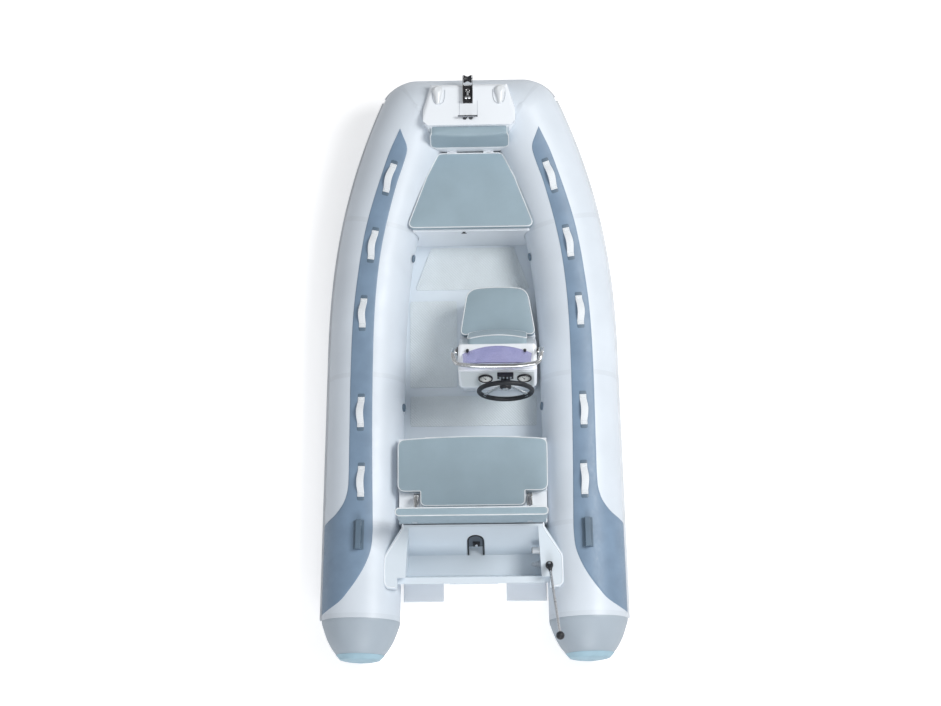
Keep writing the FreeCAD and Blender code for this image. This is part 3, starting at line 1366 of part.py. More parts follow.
def brackets():
    """Fixed hinge plates on the seat box and swinging arms that carry the backrest."""
    pin_y, pin_z, thick = num.bracket_pin_place, num.bracket_pin_height, num.bracket_plate
    fixed, arms = [], []
    for side in (-1, 1):
        x = side * num.bracket_x
        base = Part.makeBox(num.bracket_width, 74, thick,
                            Vector(x - num.bracket_width / 2, pin_y - 37, num.aft_box_top + num.seat_gap))
        cheeks = [Part.makeBox(thick, 34, pin_z + 10 - num.aft_box_top,
                               Vector(x + shift - thick / 2, pin_y - 17, num.aft_box_top + num.seat_gap))
                  for shift in (-10, 10)]
        pin = Part.makeCylinder(num.bracket_pin_radius, 28, Vector(x - 14, pin_y, pin_z), X)
        fixed.append(base.fuse([*cheeks, pin]).removeSplitter())
        rest_aft = num.aft_rest_front - num.aft_rest_thickness - num.seat_gap
        face = Part.Face(Part.makePolygon([
            Vector(x - 6, pin_y + 12, pin_z - 10), Vector(x - 6, pin_y + 12, pin_z + 12),
            Vector(x - 6, rest_aft - 4, num.aft_rest_foot - 4), Vector(x - 6, rest_aft - 4, num.aft_rest_foot - 26),
            Vector(x - 6, pin_y + 12, pin_z - 10)]))
        arm = face.extrude(Vector(12, 0, 0))
        upright = Part.makeBox(30, 5, 140, Vector(x - 15, rest_aft - 5, num.aft_rest_foot - 26))
        bore = Part.makeCylinder(num.bracket_pin_radius + 0.3, 30, Vector(x - 15, pin_y, pin_z), X)
        arms.append(arm.fuse(upright).cut(bore).removeSplitter())
    keep("backrest_brackets", feature("backrest_brackets", Part.makeCompound(fixed)))
    keep("backrest_arms", feature("backrest_arms", Part.makeCompound(arms)))


brackets()


# Stern fittings

def stern_light():
    """A pole on a tilting fork, laid back over the quarter, with a ball lamp."""
    foot = num.side_deck_top + num.seat_gap
    fork_top = foot + num.light_base_height
    pivot = Vector(num.light_x, num.light_place, fork_top + num.light_pin_rise)
    turn = Rotation(Z, 6.9) * Rotation(X, 90 - num.light_pole_rise)
    swing = Rotation(Z, 6.9)
    disc = Part.makeCylinder(num.light_base_radius, num.light_base_height,
                             Vector(0, 0, foot - pivot.z))
    cheeks = [Part.makeBox(5, 24, num.light_pin_rise + 9, Vector(shift - 2.5, -12, -num.light_pin_rise))
              for shift in (-14.5, 14.5)]
    pin = Part.makeCylinder(num.light_pin_radius, 34, Vector(-17, 0, 0), X)
    base = disc.fuse([*cheeks, pin]).removeSplitter()
    base.Placement = Placement(pivot, swing)
    keep("stern_light_base", feature("stern_light_base", base))
    pole = Part.makeCylinder(num.light_pole_radius, num.light_pole_length)
    socket = Part.makeCylinder(10, 40, Vector(0, 0, -10))
    bore = Part.makeCylinder(num.light_pin_radius + num.seat_gap, 40, Vector(-20, 0, 0), X)
    rod = pole.fuse(socket).cut(bore).removeSplitter()
    lamp = Part.makeSphere(num.light_lamp_radius, Vector(0, 0, num.light_pole_length + num.light_lamp_radius - 6))
    lamp = lamp.cut(Part.makeCylinder(num.light_pole_radius + num.seat_gap, num.light_pole_length + num.seat_gap))
    for name, shape in (("stern_light_pole", rod), ("stern_light_lamp", lamp)):
        shape.Placement = Placement(pivot, turn)
        keep(name, feature(name, shape))


stern_light()


def well_fittings():
    """A through fitting and a ribbed cable boot on the starboard wall of the well."""
    def on_wall(name, place, level, solid):
        spot = Vector(num.well_aft_half_width, place, level)
        solid.Placement = Placement(spot, Rotation(Z, -X))
        seat = well_space.Shape.translated(Vector(-num.seat_gap, 0, 0))
        keep(name, feature(name, solid.common(seat)))

    wide, tall = num.fitting_radius, num.fitting_length
    drum = Part.makeCylinder(wide, 16).fuse(Part.makeCylinder(wide * 0.78, tall)).removeSplitter()
    on_wall("through_fitting", num.fitting_place, num.fitting_level, drum)
    boot = Part.makeCone(num.boot_radius, num.boot_radius * 0.4, num.boot_height)
    on_wall("cable_boot", num.boot_place, num.boot_level, boot)


well_fittings()


def bow_eye():
    """A towing eye plate on the stem."""
    y = num.stem_place - 90
    z = hull_keel(y)
    plate = Part.makeBox(num.eye_plate, 56, 56, Vector(-num.eye_plate / 2, y - 12, z - 44))
    plate = plate.makeFillet(18, [edge for edge in plate.Edges if along(X)(edge)])
    bore = Part.makeCylinder(num.eye_bore, num.eye_plate + 4, Vector(-num.eye_plate / 2 - 2, y + 20, z - 20), X)
    blank = plate.cut(bore).cut(hull_block.Shape).cut(hull_block.Shape.translated(Vector(0, 0.2, -0.2)))
    keep("bow_eye", feature("bow_eye", max(blank.Solids, key=lambda solid: solid.Volume)))


bow_eye()


def check_and_write():
    """Stop on any failed object, then write each node's file."""
    doc.recompute()
    for item in doc.Objects:
        faults = {"Invalid", "Error"} & set(item.State)
        if faults:
            raise RuntimeError(f"{item.Label}: {sorted(faults)}")
    os.makedirs("parts", exist_ok=True)
    for label, item in nodes.items():
        shape = item.Shape
        if shape.isNull() or not shape.isValid() or not shape.Solids:
            raise RuntimeError(f"{label} has no valid solid")
        shape.exportStep(os.path.join("parts", f"{label}.step"))
        box = shape.BoundBox
        spans = " ".join(f"{low:.0f}..{high:.0f}" for low, high in
                         ((box.XMin, box.XMax), (box.YMin, box.YMax), (box.ZMin, box.ZMax)))
        print(f"{label}: {len(shape.Solids)} solids, {shape.Volume / 1e6:.3f} l, {spans}")
    print(f"{len(nodes)} nodes, {sum(item.Shape.Volume for item in nodes.values()) / 1e9:.3f} cubic metres")


check_and_write()
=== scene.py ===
import math
from contextlib import contextmanager

import bmesh
import bpy
from mathutils import Matrix, Vector
from mathutils.bvhtree import BVHTree
from mathutils.kdtree import KDTree


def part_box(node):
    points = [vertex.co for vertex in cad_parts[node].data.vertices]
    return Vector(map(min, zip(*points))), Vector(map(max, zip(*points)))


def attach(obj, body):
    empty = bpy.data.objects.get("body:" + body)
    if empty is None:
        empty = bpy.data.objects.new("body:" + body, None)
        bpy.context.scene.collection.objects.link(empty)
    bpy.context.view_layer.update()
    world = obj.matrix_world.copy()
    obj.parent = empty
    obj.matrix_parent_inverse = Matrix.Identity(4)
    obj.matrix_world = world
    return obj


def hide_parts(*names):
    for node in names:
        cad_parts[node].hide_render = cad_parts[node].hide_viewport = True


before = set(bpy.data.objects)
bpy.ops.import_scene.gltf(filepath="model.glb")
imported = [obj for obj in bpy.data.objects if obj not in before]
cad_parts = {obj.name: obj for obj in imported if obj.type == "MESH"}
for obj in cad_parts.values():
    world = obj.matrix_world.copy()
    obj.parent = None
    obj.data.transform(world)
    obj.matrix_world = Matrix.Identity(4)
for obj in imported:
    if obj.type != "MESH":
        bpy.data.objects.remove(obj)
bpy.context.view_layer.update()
scene = bpy.context.scene

# Rigid hull. The V bottom, the raked transom and the two stern pads come out of one mould.
# They are laid up in glass fibre and finished in white gelcoat, glossy and a little wavy.

GELCOAT_WHITE = (0.835, 0.875, 0.925)
# The liner white is the same gelcoat painted darker: painted shade over the cockpit floor, side decks,
# bulkhead, well and transom.
LINER_SHADED_WHITE = (0.665, 0.735, 0.80)
MOULD_EDGE = 0.005
X, Y, Z = Vector((1, 0, 0)), Vector((0, 1, 0)), Vector((0, 0, 1))
SIDES = (("port", -1), ("starboard", 1))


def new_finish(name, colour, roughness, **sockets):
    """A material with its shader, whose plain values are set on the shader's own sockets."""
    material = bpy.data.materials.new(name)
    material.use_nodes = True
    shader = material.node_tree.nodes["Principled BSDF"]
    shader.inputs["Base Color"].default_value = (*colour, 1)
    shader.inputs["Roughness"].default_value = roughness
    for socket, value in sockets.items():
        shader.inputs[socket.replace("_", " ")].default_value = value
    return material


def add_node(material, kind, **inputs):
    """A node of the material with some of its inputs set."""
    node = material.node_tree.nodes.new(kind)
    for name, value in inputs.items():
        node.inputs[name.replace("_", " ")].default_value = value
    return node


def wire(material, source, output, target, socket):
    material.node_tree.links.new(source.outputs[output], target.inputs[socket])


def place_texture(material, texture, reads="Object", stretch=(1, 1, 1)):
    """Lay a texture on the piece's own coordinates, or on its UV map."""
    coordinates = add_node(material, "ShaderNodeTexCoord")
    mapping = add_node(material, "ShaderNodeMapping")
    mapping.inputs["Scale"].default_value = stretch
    wire(material, coordinates, reads, mapping, "Vector")
    wire(material, mapping, "Vector", texture, "Vector")
    return texture


def emboss(material, texture, output, strength, depth, after=None):
    """Raise the surface where the texture is bright, on top of an earlier relief."""
    bump = add_node(material, "ShaderNodeBump", Strength=strength, Distance=depth)
    wire(material, texture, output, bump, "Height")
    if after:
        wire(material, after, "Normal", bump, "Normal")
    wire(material, bump, "Normal", material.node_tree.nodes["Principled BSDF"], "Normal")
    return bump


def vary(material, texture, socket, low, high):
    """Let the texture move the colour or the roughness between two values."""
    ramp = add_node(material, "ShaderNodeValToRGB")
    for element, position, value in zip(ramp.color_ramp.elements, (0.3, 0.7), (low, high)):
        element.position = position
        element.color = (value, value, value, 1) if isinstance(value, float) else (*value, 1)
    wire(material, texture, "Fac", ramp, "Fac")
    wire(material, ramp, "Color", material.node_tree.nodes["Principled BSDF"], socket)


def shade_of(colour, factor):
    return tuple(min(1.0, part * factor) for part in colour)


def noise(material, scale, detail):
    return place_texture(material, add_node(material, "ShaderNodeTexNoise", Scale=scale, Detail=detail))


def cloud_colour(material, colour, scale, detail, darkest, lightest):
    """Soft clouds in the colour, between two factors of it."""
    vary(material, noise(material, scale, detail), "Base Color",
         shade_of(colour, darkest), shade_of(colour, lightest))


def rub_patches(material, scale, detail, smoothest, roughest):
    """Patches of another gloss, between two values of roughness."""
    vary(material, noise(material, scale, detail), "Roughness", smoothest, roughest)


def gelcoat_finish(name, colour, roughness=0.24):
    """Moulded gelcoat: nearly even colour, a soft wave in the gloss and faint orange peel."""
    material = new_finish(name, colour, roughness, Coat_Weight=0.15, Coat_Roughness=0.18)
    cloud_colour(material, colour, 5.0, 4.0, 0.985, 1.01)
    rub_patches(material, 38.0, 6.0, roughness - 0.02, roughness + 0.03)
    emboss(material, noise(material, 160.0, 2.0), "Fac", 0.03, 0.0001)
    return material


def handled_finish(name, colour, roughness, **sockets):
    """A smooth hard surface with faint clouding, rubbed patches and fine drawn lines from handling."""
    material = new_finish(name, colour, roughness, **sockets)
    cloud_colour(material, colour, 28.0, 5.0, 0.94, 1.03)
    rub_patches(material, 130.0, 6.0, roughness * 0.75, roughness * 1.35)
    drawn = add_node(material, "ShaderNodeTexNoise", Scale=30.0, Detail=3.0)
    place_texture(material, drawn, "Object", (3, 40, 40))
    emboss(material, drawn, "Fac", 0.04, 0.0001)
    return material


def shade(mesh, sharp_angle):
    mesh.shade_smooth()
    mesh.set_sharp_from_angle(angle=math.radians(sharp_angle))


def show(name, mesh, material, body="root", stands_for=(), sharp_angle=38):
    """Put a finished mesh in the boat: it rides on a body and may stand for CAD nodes."""
    mesh.name = name
    obj = bpy.data.objects.new(name, mesh)
    scene.collection.objects.link(obj)
    mesh.materials.clear()
    mesh.materials.append(material)
    if sharp_angle:
        shade(mesh, sharp_angle)
    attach(obj, body)
    if stands_for:
        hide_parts(*stands_for)
    return obj


def plain_mesh(obj, *modifiers):
    """The object's mesh once the named modifiers have been worked in."""
    for kind, settings in modifiers:
        modifier = obj.modifiers.new(kind.title(), kind)
        for name, value in settings.items():
            setattr(modifier, name, value)
    evaluated = obj.evaluated_get(bpy.context.evaluated_depsgraph_get())
    mesh = bpy.data.meshes.new_from_object(evaluated)
    bpy.data.objects.remove(obj)
    return mesh


def loose_object(mesh):
    """A passing object that carries modifiers until its mesh is made plain."""
    obj = bpy.data.objects.new("passing", mesh)
    scene.collection.objects.link(obj)
    bpy.context.view_layer.update()
    return obj


@contextmanager
def edited(mesh):
    """The mesh opened for editing, and written back afterwards."""
    work = bmesh.new()
    work.from_mesh(mesh)
    yield work
    work.to_mesh(mesh)
    work.free()


def merged_copy(node):
    """A copy of a CAD piece's mesh with its doubled corners merged and flat faces whole."""
    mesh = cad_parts[node].data.copy()
    with edited(mesh) as work:
        bmesh.ops.remove_doubles(work, verts=work.verts, dist=1e-5)
        bmesh.ops.dissolve_limit(work, angle_limit=math.radians(0.6), verts=work.verts, edges=work.edges)
    return mesh


def softened(node, edge, material, body="root", limit=32):
    """The CAD piece again with its moulded edges rounded over."""
    bevel = {"width": edge, "segments": 3, "limit_method": "ANGLE",
             "angle_limit": math.radians(limit), "harden_normals": False, "use_clamp_overlap": True}
    mesh = plain_mesh(loose_object(merged_copy(node)), ("BEVEL", bevel))
    shade(mesh, 30)
    mesh = plain_mesh(loose_object(mesh), ("WEIGHTED_NORMAL", {"keep_sharp": True}))
    return show(f"{node}_moulding", mesh, material, body, (node,), None)


gelcoat = gelcoat_finish("white gelcoat", GELCOAT_WHITE)
# The transom and the deck liner wear the darker copy of the white gelcoat, as painted shade.
liner_gelcoat_painted_shade = gelcoat_finish("liner gelcoat with painted shade", LINER_SHADED_WHITE, 0.30)
softened("hull_bottom", MOULD_EDGE, gelcoat)
softened("transom", MOULD_EDGE, liner_gelcoat_painted_shade)
softened("stern_pads", MOULD_EDGE, gelcoat)

# Buoyancy tubes. Each side is one long tube of coated fabric that bends in and rises to the bow.
# A short tube joins the two across the bow, glued at mitred seams under narrow tapes.

BOW_LOW, BOW_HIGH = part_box("bow_tube")
TUBE_RADIUS = (BOW_HIGH.z - BOW_LOW.z) / 2
STERN_PLACE, CORNER_PLACE = -1.450, 1.585
STERN_SPREAD, CORNER_SPREAD = 0.661, 0.315
TUBE_TAPER, BEND_START, BEND_POWER = 0.0209, 0.100, 2.4
TUBE_LEVEL, BOW_RISE = 0.210, 0.190
RING_STEPS, RUN_STEPS, TURN_STEPS = 96, 128, 14
TUBE_GREY = (0.665, 0.725, 0.795)
TAPE_WIDTH, TAPE_LIFT = 0.028, 0.0009


def spread(y):
    """Half spread of the side tubes' centre lines at a place along the boat."""
    straight = STERN_SPREAD - TUBE_TAPER * (y - STERN_PLACE)
    reach = STERN_SPREAD - TUBE_TAPER * (CORNER_PLACE - STERN_PLACE) - CORNER_SPREAD
    share = max(0.0, (y - BEND_START) / (CORNER_PLACE - BEND_START))
    return straight - reach * share ** BEND_POWER


def level(y):
    return TUBE_LEVEL + BOW_RISE * max(0.0, y / CORNER_PLACE) ** 2


def round_turns(count):
    """Evenly spaced angles once round."""
    return [2 * math.pi * spot / count for spot in range(count)]


def turned(up, out, turn):
    """The direction at an angle from one axis towards another."""
    return up * math.cos(turn) + out * math.sin(turn)


def mirrored(rows):
    return [[Vector((-point.x, point.y, point.z)) for point in row] for row in reversed(rows)]


def ring_axes(ahead, outboard):
    """Unit directions up and outboard, square to the way the tube runs."""
    up = (Z - ahead * ahead.dot(Z)).normalized()
    out = ahead.cross(up)
    return up, out if out.dot(outboard) > 0 else -out


def run_frame(side, y):
    """Centre, heading, up and outboard of a side tube at a place along the boat."""
    tiny = 0.001
    centre = Vector((side * spread(y), y, level(y)))
    widening, rising = spread(y + tiny) - spread(y - tiny), level(y + tiny) - level(y - tiny)
    ahead = Vector((side * widening, 2 * tiny, rising)).normalized()
    return (centre, ahead, *ring_axes(ahead, X * side))


def on_skin(side, y, degrees, lift=0.0):
    """A point on a side tube's skin, at an angle outboard of its crown."""
    centre, _, up, out = run_frame(side, y)
    return centre + turned(up, out, math.radians(degrees)) * (TUBE_RADIUS + lift)


def corner_frame(side):
    """The bow corner's centre, the side tube's heading there and the mitre's normal."""
    centre, ahead, _, _ = run_frame(side, CORNER_PLACE)
    heading = Vector((ahead.x, ahead.y, 0)).normalized()
    return centre, ahead, (heading - X * side).normalized()


def mitred_point(centre, ahead, mitre, outboard, degrees, back, lift=0.0):
    """A point near a mitred end, a distance back along the skin from the seam."""
    radius, turn = TUBE_RADIUS + lift, math.radians(degrees)
    whole = ahead.angle(mitre)
    if math.sin(turn) > 0:
        share = 1 - min(1.0, back / (TUBE_RADIUS * whole))
        heading = ahead.lerp(mitre, share).normalized()
        return centre + turned(*ring_axes(heading, outboard), turn) * radius
    point = centre + turned(*ring_axes(ahead, outboard), turn) * radius
    point -= ahead * ((point - centre).dot(mitre) / ahead.dot(mitre))
    return point - ahead * back


def mitred_rings(centre, ahead, mitre, outboard):
    """Rings that turn a straight tube's end into its mitre plane."""
    whole = TUBE_RADIUS * ahead.angle(mitre)
    angles = [360 * step / RING_STEPS for step in range(RING_STEPS)]
    rows = []
    for turn in range(TURN_STEPS + 1):
        back = whole * (1 - turn / TURN_STEPS)
        rows.append([mitred_point(centre, ahead, mitre, outboard, angle,
                                  back if math.sin(math.radians(angle)) > 0 else 0.0) for angle in angles])
    return rows


def skin_mesh(rings, closed_ends=True):
    """A tube skin from rings of points, with lengths along and around it as its UV map."""
    mesh = bpy.data.meshes.new("skin")
    around = len(rings[0])
    vertices = [point for ring in rings for point in ring]
    faces = []
    for row in range(len(rings) - 1):
        for column in range(around):
            ahead = (column + 1) % around
            faces.append((row * around + column, row * around + ahead,
                          (row + 1) * around + ahead, (row + 1) * around + column))
    if closed_ends:
        last = (len(rings) - 1) * around
        faces.append(tuple(range(around))[::-1])
        faces.append(tuple(range(last, last + around)))
    mesh.from_pydata(vertices, [], faces)
    along = [0.0]
    for before, after in zip(rings, rings[1:]):
        along.append(along[-1] + (after[around // 4] - before[around // 4]).length)
    round_step = 2 * math.pi * TUBE_RADIUS / around
    uv = mesh.uv_layers.new(name="UVMap")
    for polygon in mesh.polygons:
        columns = [mesh.loops[loop].vertex_index % around for loop in polygon.loop_indices]
        wraps = max(columns) - min(columns) > around / 2
        for loop, column in zip(polygon.loop_indices, columns):
            row = mesh.loops[loop].vertex_index // around
            lap = around if wraps and column == 0 else 0
            uv.data[loop].uv = (along[row], (column + lap) * round_step)
    outward(mesh)
    return mesh


def outward(mesh):
    """Merge doubled corners and point every face outwards."""
    with edited(mesh) as work:
        bmesh.ops.remove_doubles(work, verts=work.verts, dist=1e-5)
        bmesh.ops.recalc_face_normals(work, faces=work.faces)


def fabric_finish(name, colour, roughness=0.44):
    """Coated tube fabric: the woven cloth shows faintly through a satin rubber coat."""
    material = new_finish(name, colour, roughness, Coat_Weight=0.12, Coat_Roughness=0.35)
    cloud_colour(material, colour, 2.6, 5.0, 0.94, 1.035)
    rub_patches(material, 24.0, 7.0, roughness - 0.06, roughness + 0.08)
    relief = None
    for stretch in ((900, 0.001, 1), (0.001, 900, 1)):
        thread = add_node(material, "ShaderNodeTexWave", Scale=0.5, Distortion=0.4)
        place_texture(material, thread, "UV", stretch)
        relief = emboss(material, thread, "Fac", 0.10, 0.0003, relief)
    return material


def side_rings(side):
    """Rings of a side tube from the stern to its mitred bow end."""
    centre, ahead, mitre = corner_frame(side)
    rows = []
    for step in range(RUN_STEPS):
        y = STERN_PLACE + (CORNER_PLACE - STERN_PLACE) * step / RUN_STEPS
        ring = [on_skin(side, y, 360 * spot / RING_STEPS) for spot in range(RING_STEPS)]
        heading = run_frame(side, y)[1]
        rows.append([point - heading * max(0.0, (point - centre).dot(mitre) / heading.dot(mitre))
                     for point in ring])
    return rows + mitred_rings(centre, ahead, mitre, X * side)


def bow_rings():
    """Rings of the short bow tube from its port mitre to its starboard mitre."""
    centre, _, mitre = corner_frame(1)
    half = mitred_rings(centre, X, -mitre, Y)
    return mirrored(half) + half


def band_mesh(rows):
    """A thin open band laid on a skin, as a grid of points."""
    mesh = bpy.data.meshes.new("band")
    across = len(rows[0])
    corners = [row * across + spot for row in range(len(rows) - 1) for spot in range(across - 1)]
    faces = [(corner, corner + 1, corner + across + 1, corner + across) for corner in corners]
    mesh.from_pydata([point for row in rows for point in row], [], faces)
    uv = mesh.uv_layers.new(name="UVMap")
    along = [0.0]
    for before, after in zip(rows, rows[1:]):
        along.append(along[-1] + (after[across // 2] - before[across // 2]).length)
    wide = [0.0]
    middle = rows[len(rows) // 2]
    for before, after in zip(middle, middle[1:]):
        wide.append(wide[-1] + (after - before).length)
    for loop in mesh.loops:
        uv.data[loop.index].uv = (along[loop.vertex_index // across], wide[loop.vertex_index % across])
    return mesh


def slab_mesh(low_rows, high_rows, wrapped=False):
    """A closed thin slab between a lower and an upper grid of points, or a ring of such."""
    mesh = band_mesh(high_rows)
    work = bmesh.new()
    work.from_mesh(mesh)
    work.verts.ensure_lookup_table()
    layer = work.loops.layers.uv.active
    across, down = len(high_rows[0]), len(high_rows)
    lower = [work.verts.new(point) for row in low_rows for point in row]
    upper = list(work.verts)[:across * down]
    for row in range(down - 1):
        for spot in range(across - 1):
            corners = (row * across + spot, (row + 1) * across + spot,
                       (row + 1) * across + spot + 1, row * across + spot + 1)
            work.faces.new([lower[corner] for corner in corners])
    right = [row * across + across - 1 for row in range(down)]
    left = [row * across for row in range(down - 1, -1, -1)]
    near, far = list(range(across)), [(down - 1) * across + spot for spot in range(across - 1, -1, -1)]
    sides = [right, left] if wrapped else [near, right, far, left]
    for first, last in [pair for run in sides for pair in zip(run, run[1:])]:
        face = work.faces.new((upper[first], lower[first], lower[last], upper[last]))
        for loop in face.loops:
            loop[layer].uv = (0.0, 0.0)
    bmesh.ops.remove_doubles(work, verts=work.verts, dist=1e-6)
    bmesh.ops.recalc_face_normals(work, faces=work.faces)
    work.to_mesh(mesh)
    work.free()
    return mesh


def ring_tape(side, y):
    """A glued tape once round a side tube."""
    def rows(lift):
        return [[on_skin(side, place, 360 * spot / RING_STEPS, lift) for place in edges]
                for spot in range(RING_STEPS + 1)]
    edges = (y - TAPE_WIDTH / 2, y + TAPE_WIDTH / 2)
    return slab_mesh(rows(-0.001), rows(TAPE_LIFT), True)


def mitre_tape(side):
    """The tape over a bow corner's seam, half on each tube."""
    centre, ahead, mitre = corner_frame(side)
    arms = ((ahead, mitre, X * side), (X * side, -mitre, Y))

    def rows(lift):
        grid = []
        for spot in range(RING_STEPS + 1):
            angle = 360 * spot / RING_STEPS
            first, last = (mitred_point(centre, *arm, angle, TAPE_WIDTH * 0.6, lift) for arm in arms)
            middle = mitred_point(centre, *arms[0], angle, 0.0, lift)
            grid.append([first, middle, last])
        return grid
    return slab_mesh(rows(-0.001), rows(TAPE_LIFT), True)


def joined(meshes):
    """One mesh out of several."""
    work = bmesh.new()
    for mesh in meshes:
        work.from_mesh(mesh)
    result = bpy.data.meshes.new("joined")
    work.to_mesh(result)
    work.free()
    return result


TAPE_PLACES = (-1.436, -0.905, -0.02, 0.93)
tube_fabric = fabric_finish("tube fabric", TUBE_GREY)
seam_fabric = fabric_finish("seam tape", shade_of(TUBE_GREY, 0.945), 0.40)
for side_name, side in SIDES:
    show(f"{side_name}_tube_skin", skin_mesh(side_rings(side)), tube_fabric, "root",
         (f"{side_name}_tube",), 50)
    tapes = [ring_tape(side, place) for place in TAPE_PLACES] + [mitre_tape(side)]
    show(f"{side_name}_seam_tapes", joined(tapes), seam_fabric, "root")
show("bow_tube_skin", skin_mesh(bow_rings()), tube_fabric, "root", ("bow_tube",), 50)

# Cone ends. Behind each side tube a cone of the same fabric tapers to a moulded cap.
# The cap has a raised lip and a flat button in its middle.

CONE_PROFILE = ((0.0, 0.2275), (0.014, 0.2265), (0.036, 0.2195), (0.068, 0.2085), (0.110, 0.1920),
                (0.152, 0.1690), (0.186, 0.1445), (0.206, 0.1265), (0.2145, 0.1195))
CAP_PROFILE = ((0.1935, 0.1385), (0.1945, 0.1402), (0.2050, 0.1312), (0.2150, 0.1216), (0.2190, 0.1190),
               (0.2222, 0.1145), (0.2235, 0.1080), (0.2262, 0.1010), (0.2305, 0.0790), (0.2342, 0.0480),
               (0.2350, 0.0300), (0.2366, 0.0285), (0.2368, 0.0))
RUBBER_BLUE = (0.350, 0.515, 0.610)
CONE_GAP = 0.0003


def smooth_line(points, count):
    """Evenly spaced points on a soft curve through the given ones."""
    points = [Vector(point) for point in points]
    whole = [points[0] * 2 - points[1]] + points + [points[-1] * 2 - points[-2]]
    fine = []
    for before, start, end, after in zip(whole, whole[1:], whole[2:], whole[3:]):
        for step in range(12):
            t = step / 12
            bend = (2 * before - 5 * start + 4 * end - after) * t ** 2
            twist = (3 * start - before - 3 * end + after) * t ** 3
            fine.append(0.5 * (2 * start + (end - before) * t + bend + twist))
    return even_line(fine + [points[-1]], count)


def even_line(points, count):
    """The same line with its points evenly spaced."""
    reach = [0.0]
    for before, after in zip(points, points[1:]):
        reach.append(reach[-1] + (after - before).length)
    spots, index = [], 0
    for step in range(count):
        goal = reach[-1] * step / (count - 1)
        while index < len(reach) - 2 and reach[index + 1] < goal:
            index += 1
        gap = reach[index + 1] - reach[index]
        share = min(1.0, (goal - reach[index]) / gap) if gap else 0
        spots.append(points[index].lerp(points[index + 1], share))
    return spots


def lathe(profile, centre, axis, sides=64, bored=False):
    """A turned piece from heights along its axis and radii, closed where it is open unless it is bored."""
    axis = axis.normalized()
    up = axis.orthogonal().normalized()
    out = axis.cross(up)
    spokes = [turned(up, out, turn) for turn in round_turns(sides)]
    rings = [[centre + axis * height + spoke * radius for spoke in spokes] for height, radius in profile]
    return skin_mesh(rings + rings[:bored], not bored)


def rubber_finish(name, colour, roughness=0.5):
    """Calendered rubber: an even coat with a fine pebble and dull rubbed patches."""
    material = new_finish(name, colour, roughness)
    cloud_colour(material, colour, 9.0, 6.0, 0.90, 1.06)
    rub_patches(material, 60.0, 6.0, roughness - 0.08, roughness + 0.10)
    pebble = place_texture(material, add_node(material, "ShaderNodeTexVoronoi", Scale=900.0))
    emboss(material, pebble, "Distance", 0.12, 0.0003)
    return material


rubber_blue = rubber_finish("blue-grey rubber", RUBBER_BLUE)
# The cones are the tubes' fabric painted much darker: painted shade at the stern.
cone_fabric_painted_shade = fabric_finish("cone fabric with painted shade", (0.375, 0.435, 0.495))
for side_name, side in SIDES:
    stern, ahead, _, _ = run_frame(side, STERN_PLACE)
    profile = [tuple(spot) for spot in smooth_line([(*spot, 0) for spot in CONE_PROFILE], 40)]
    cone = lathe([(back + CONE_GAP, radius) for back, radius, _ in profile], stern, -ahead, RING_STEPS)
    show(f"{side_name}_cone_skin", cone, cone_fabric_painted_shade, "root", (f"{side_name}_cone",))
    show(f"{side_name}_cone_cap_moulding", lathe(CAP_PROFILE, stern, -ahead, RING_STEPS), rubber_blue, "root",
         (f"{side_name}_cone_cap",), 28)

# Rub strakes. A ribbed rubber fender is glued along each tube's widest line.
# A third length wraps the bow from corner to corner.

HALF_STRAKE = ((3, 10.8), (5.5, 13.6), (10, 13.3), (12.5, 11.5), (14.5, 5.2), (18, 5.2), (19.5, 7.5),
               (23, 7.5), (25.5, 5), (27.5, 1.5), (28, -1))
STRAKE_PROFILE = [(-across, lift) for across, lift in HALF_STRAKE[::-1]] + list(HALF_STRAKE)
STRAKE_STEPS, STRAKE_START = 150, 0.005
RUBBER_WHITE = (0.62, 0.65, 0.69)


def strake_row(centre, heading, outboard, sunk=None):
    """The fender's section at one place: across the skin, and out from it."""
    up, out = ring_axes(heading.normalized(), outboard)
    row = []
    for across, lift in STRAKE_PROFILE:
        radius = TUBE_RADIUS + (lift / 1000 if sunk is None else sunk)
        row.append(centre + turned(out, up, across / 1000 / TUBE_RADIUS) * radius)
    return row


def side_strake(side):
    start = STERN_PLACE + STRAKE_START
    places = [start + (CORNER_PLACE - start) * step / STRAKE_STEPS for step in range(STRAKE_STEPS + 1)]

    def rows(sunk=None):
        return [strake_row(*run_frame(side, y)[:2], X * side, sunk) for y in places]
    return slab_mesh(rows(-0.001), rows())


def bow_strake():
    """From the starboard corner's turn to the port one, through the middle of the bow."""
    centre, ahead, _ = corner_frame(1)

    def rows(sunk=None):
        half = []
        for step in range(1, 25):
            share = step / 24
            heading = ahead.slerp(-X, 0.06 + 0.94 * share)
            half.append(strake_row(centre, heading, X * (1 - share) + Y * (0.1 + share), sunk))
        middle = Vector((0, centre.y, centre.z))
        return half + [strake_row(middle, -X, Y, sunk)] + mirrored(half)
    return slab_mesh(rows(-0.001), rows())


rubber_white = rubber_finish("white fender rubber", RUBBER_WHITE, 0.46)
for side_name, side in SIDES:
    show(f"{side_name}_fender", side_strake(side), rubber_white, "root",
         (f"{side_name}_rub_strake",), 24)
show("bow_fender", bow_strake(), rubber_white, "root", ("bow_rub_strake",), 24)

# Wear strips. A blue-grey strip is glued along each tube's top, pointed at the bow.
# At the stern it widens and runs outboard down to the fender.

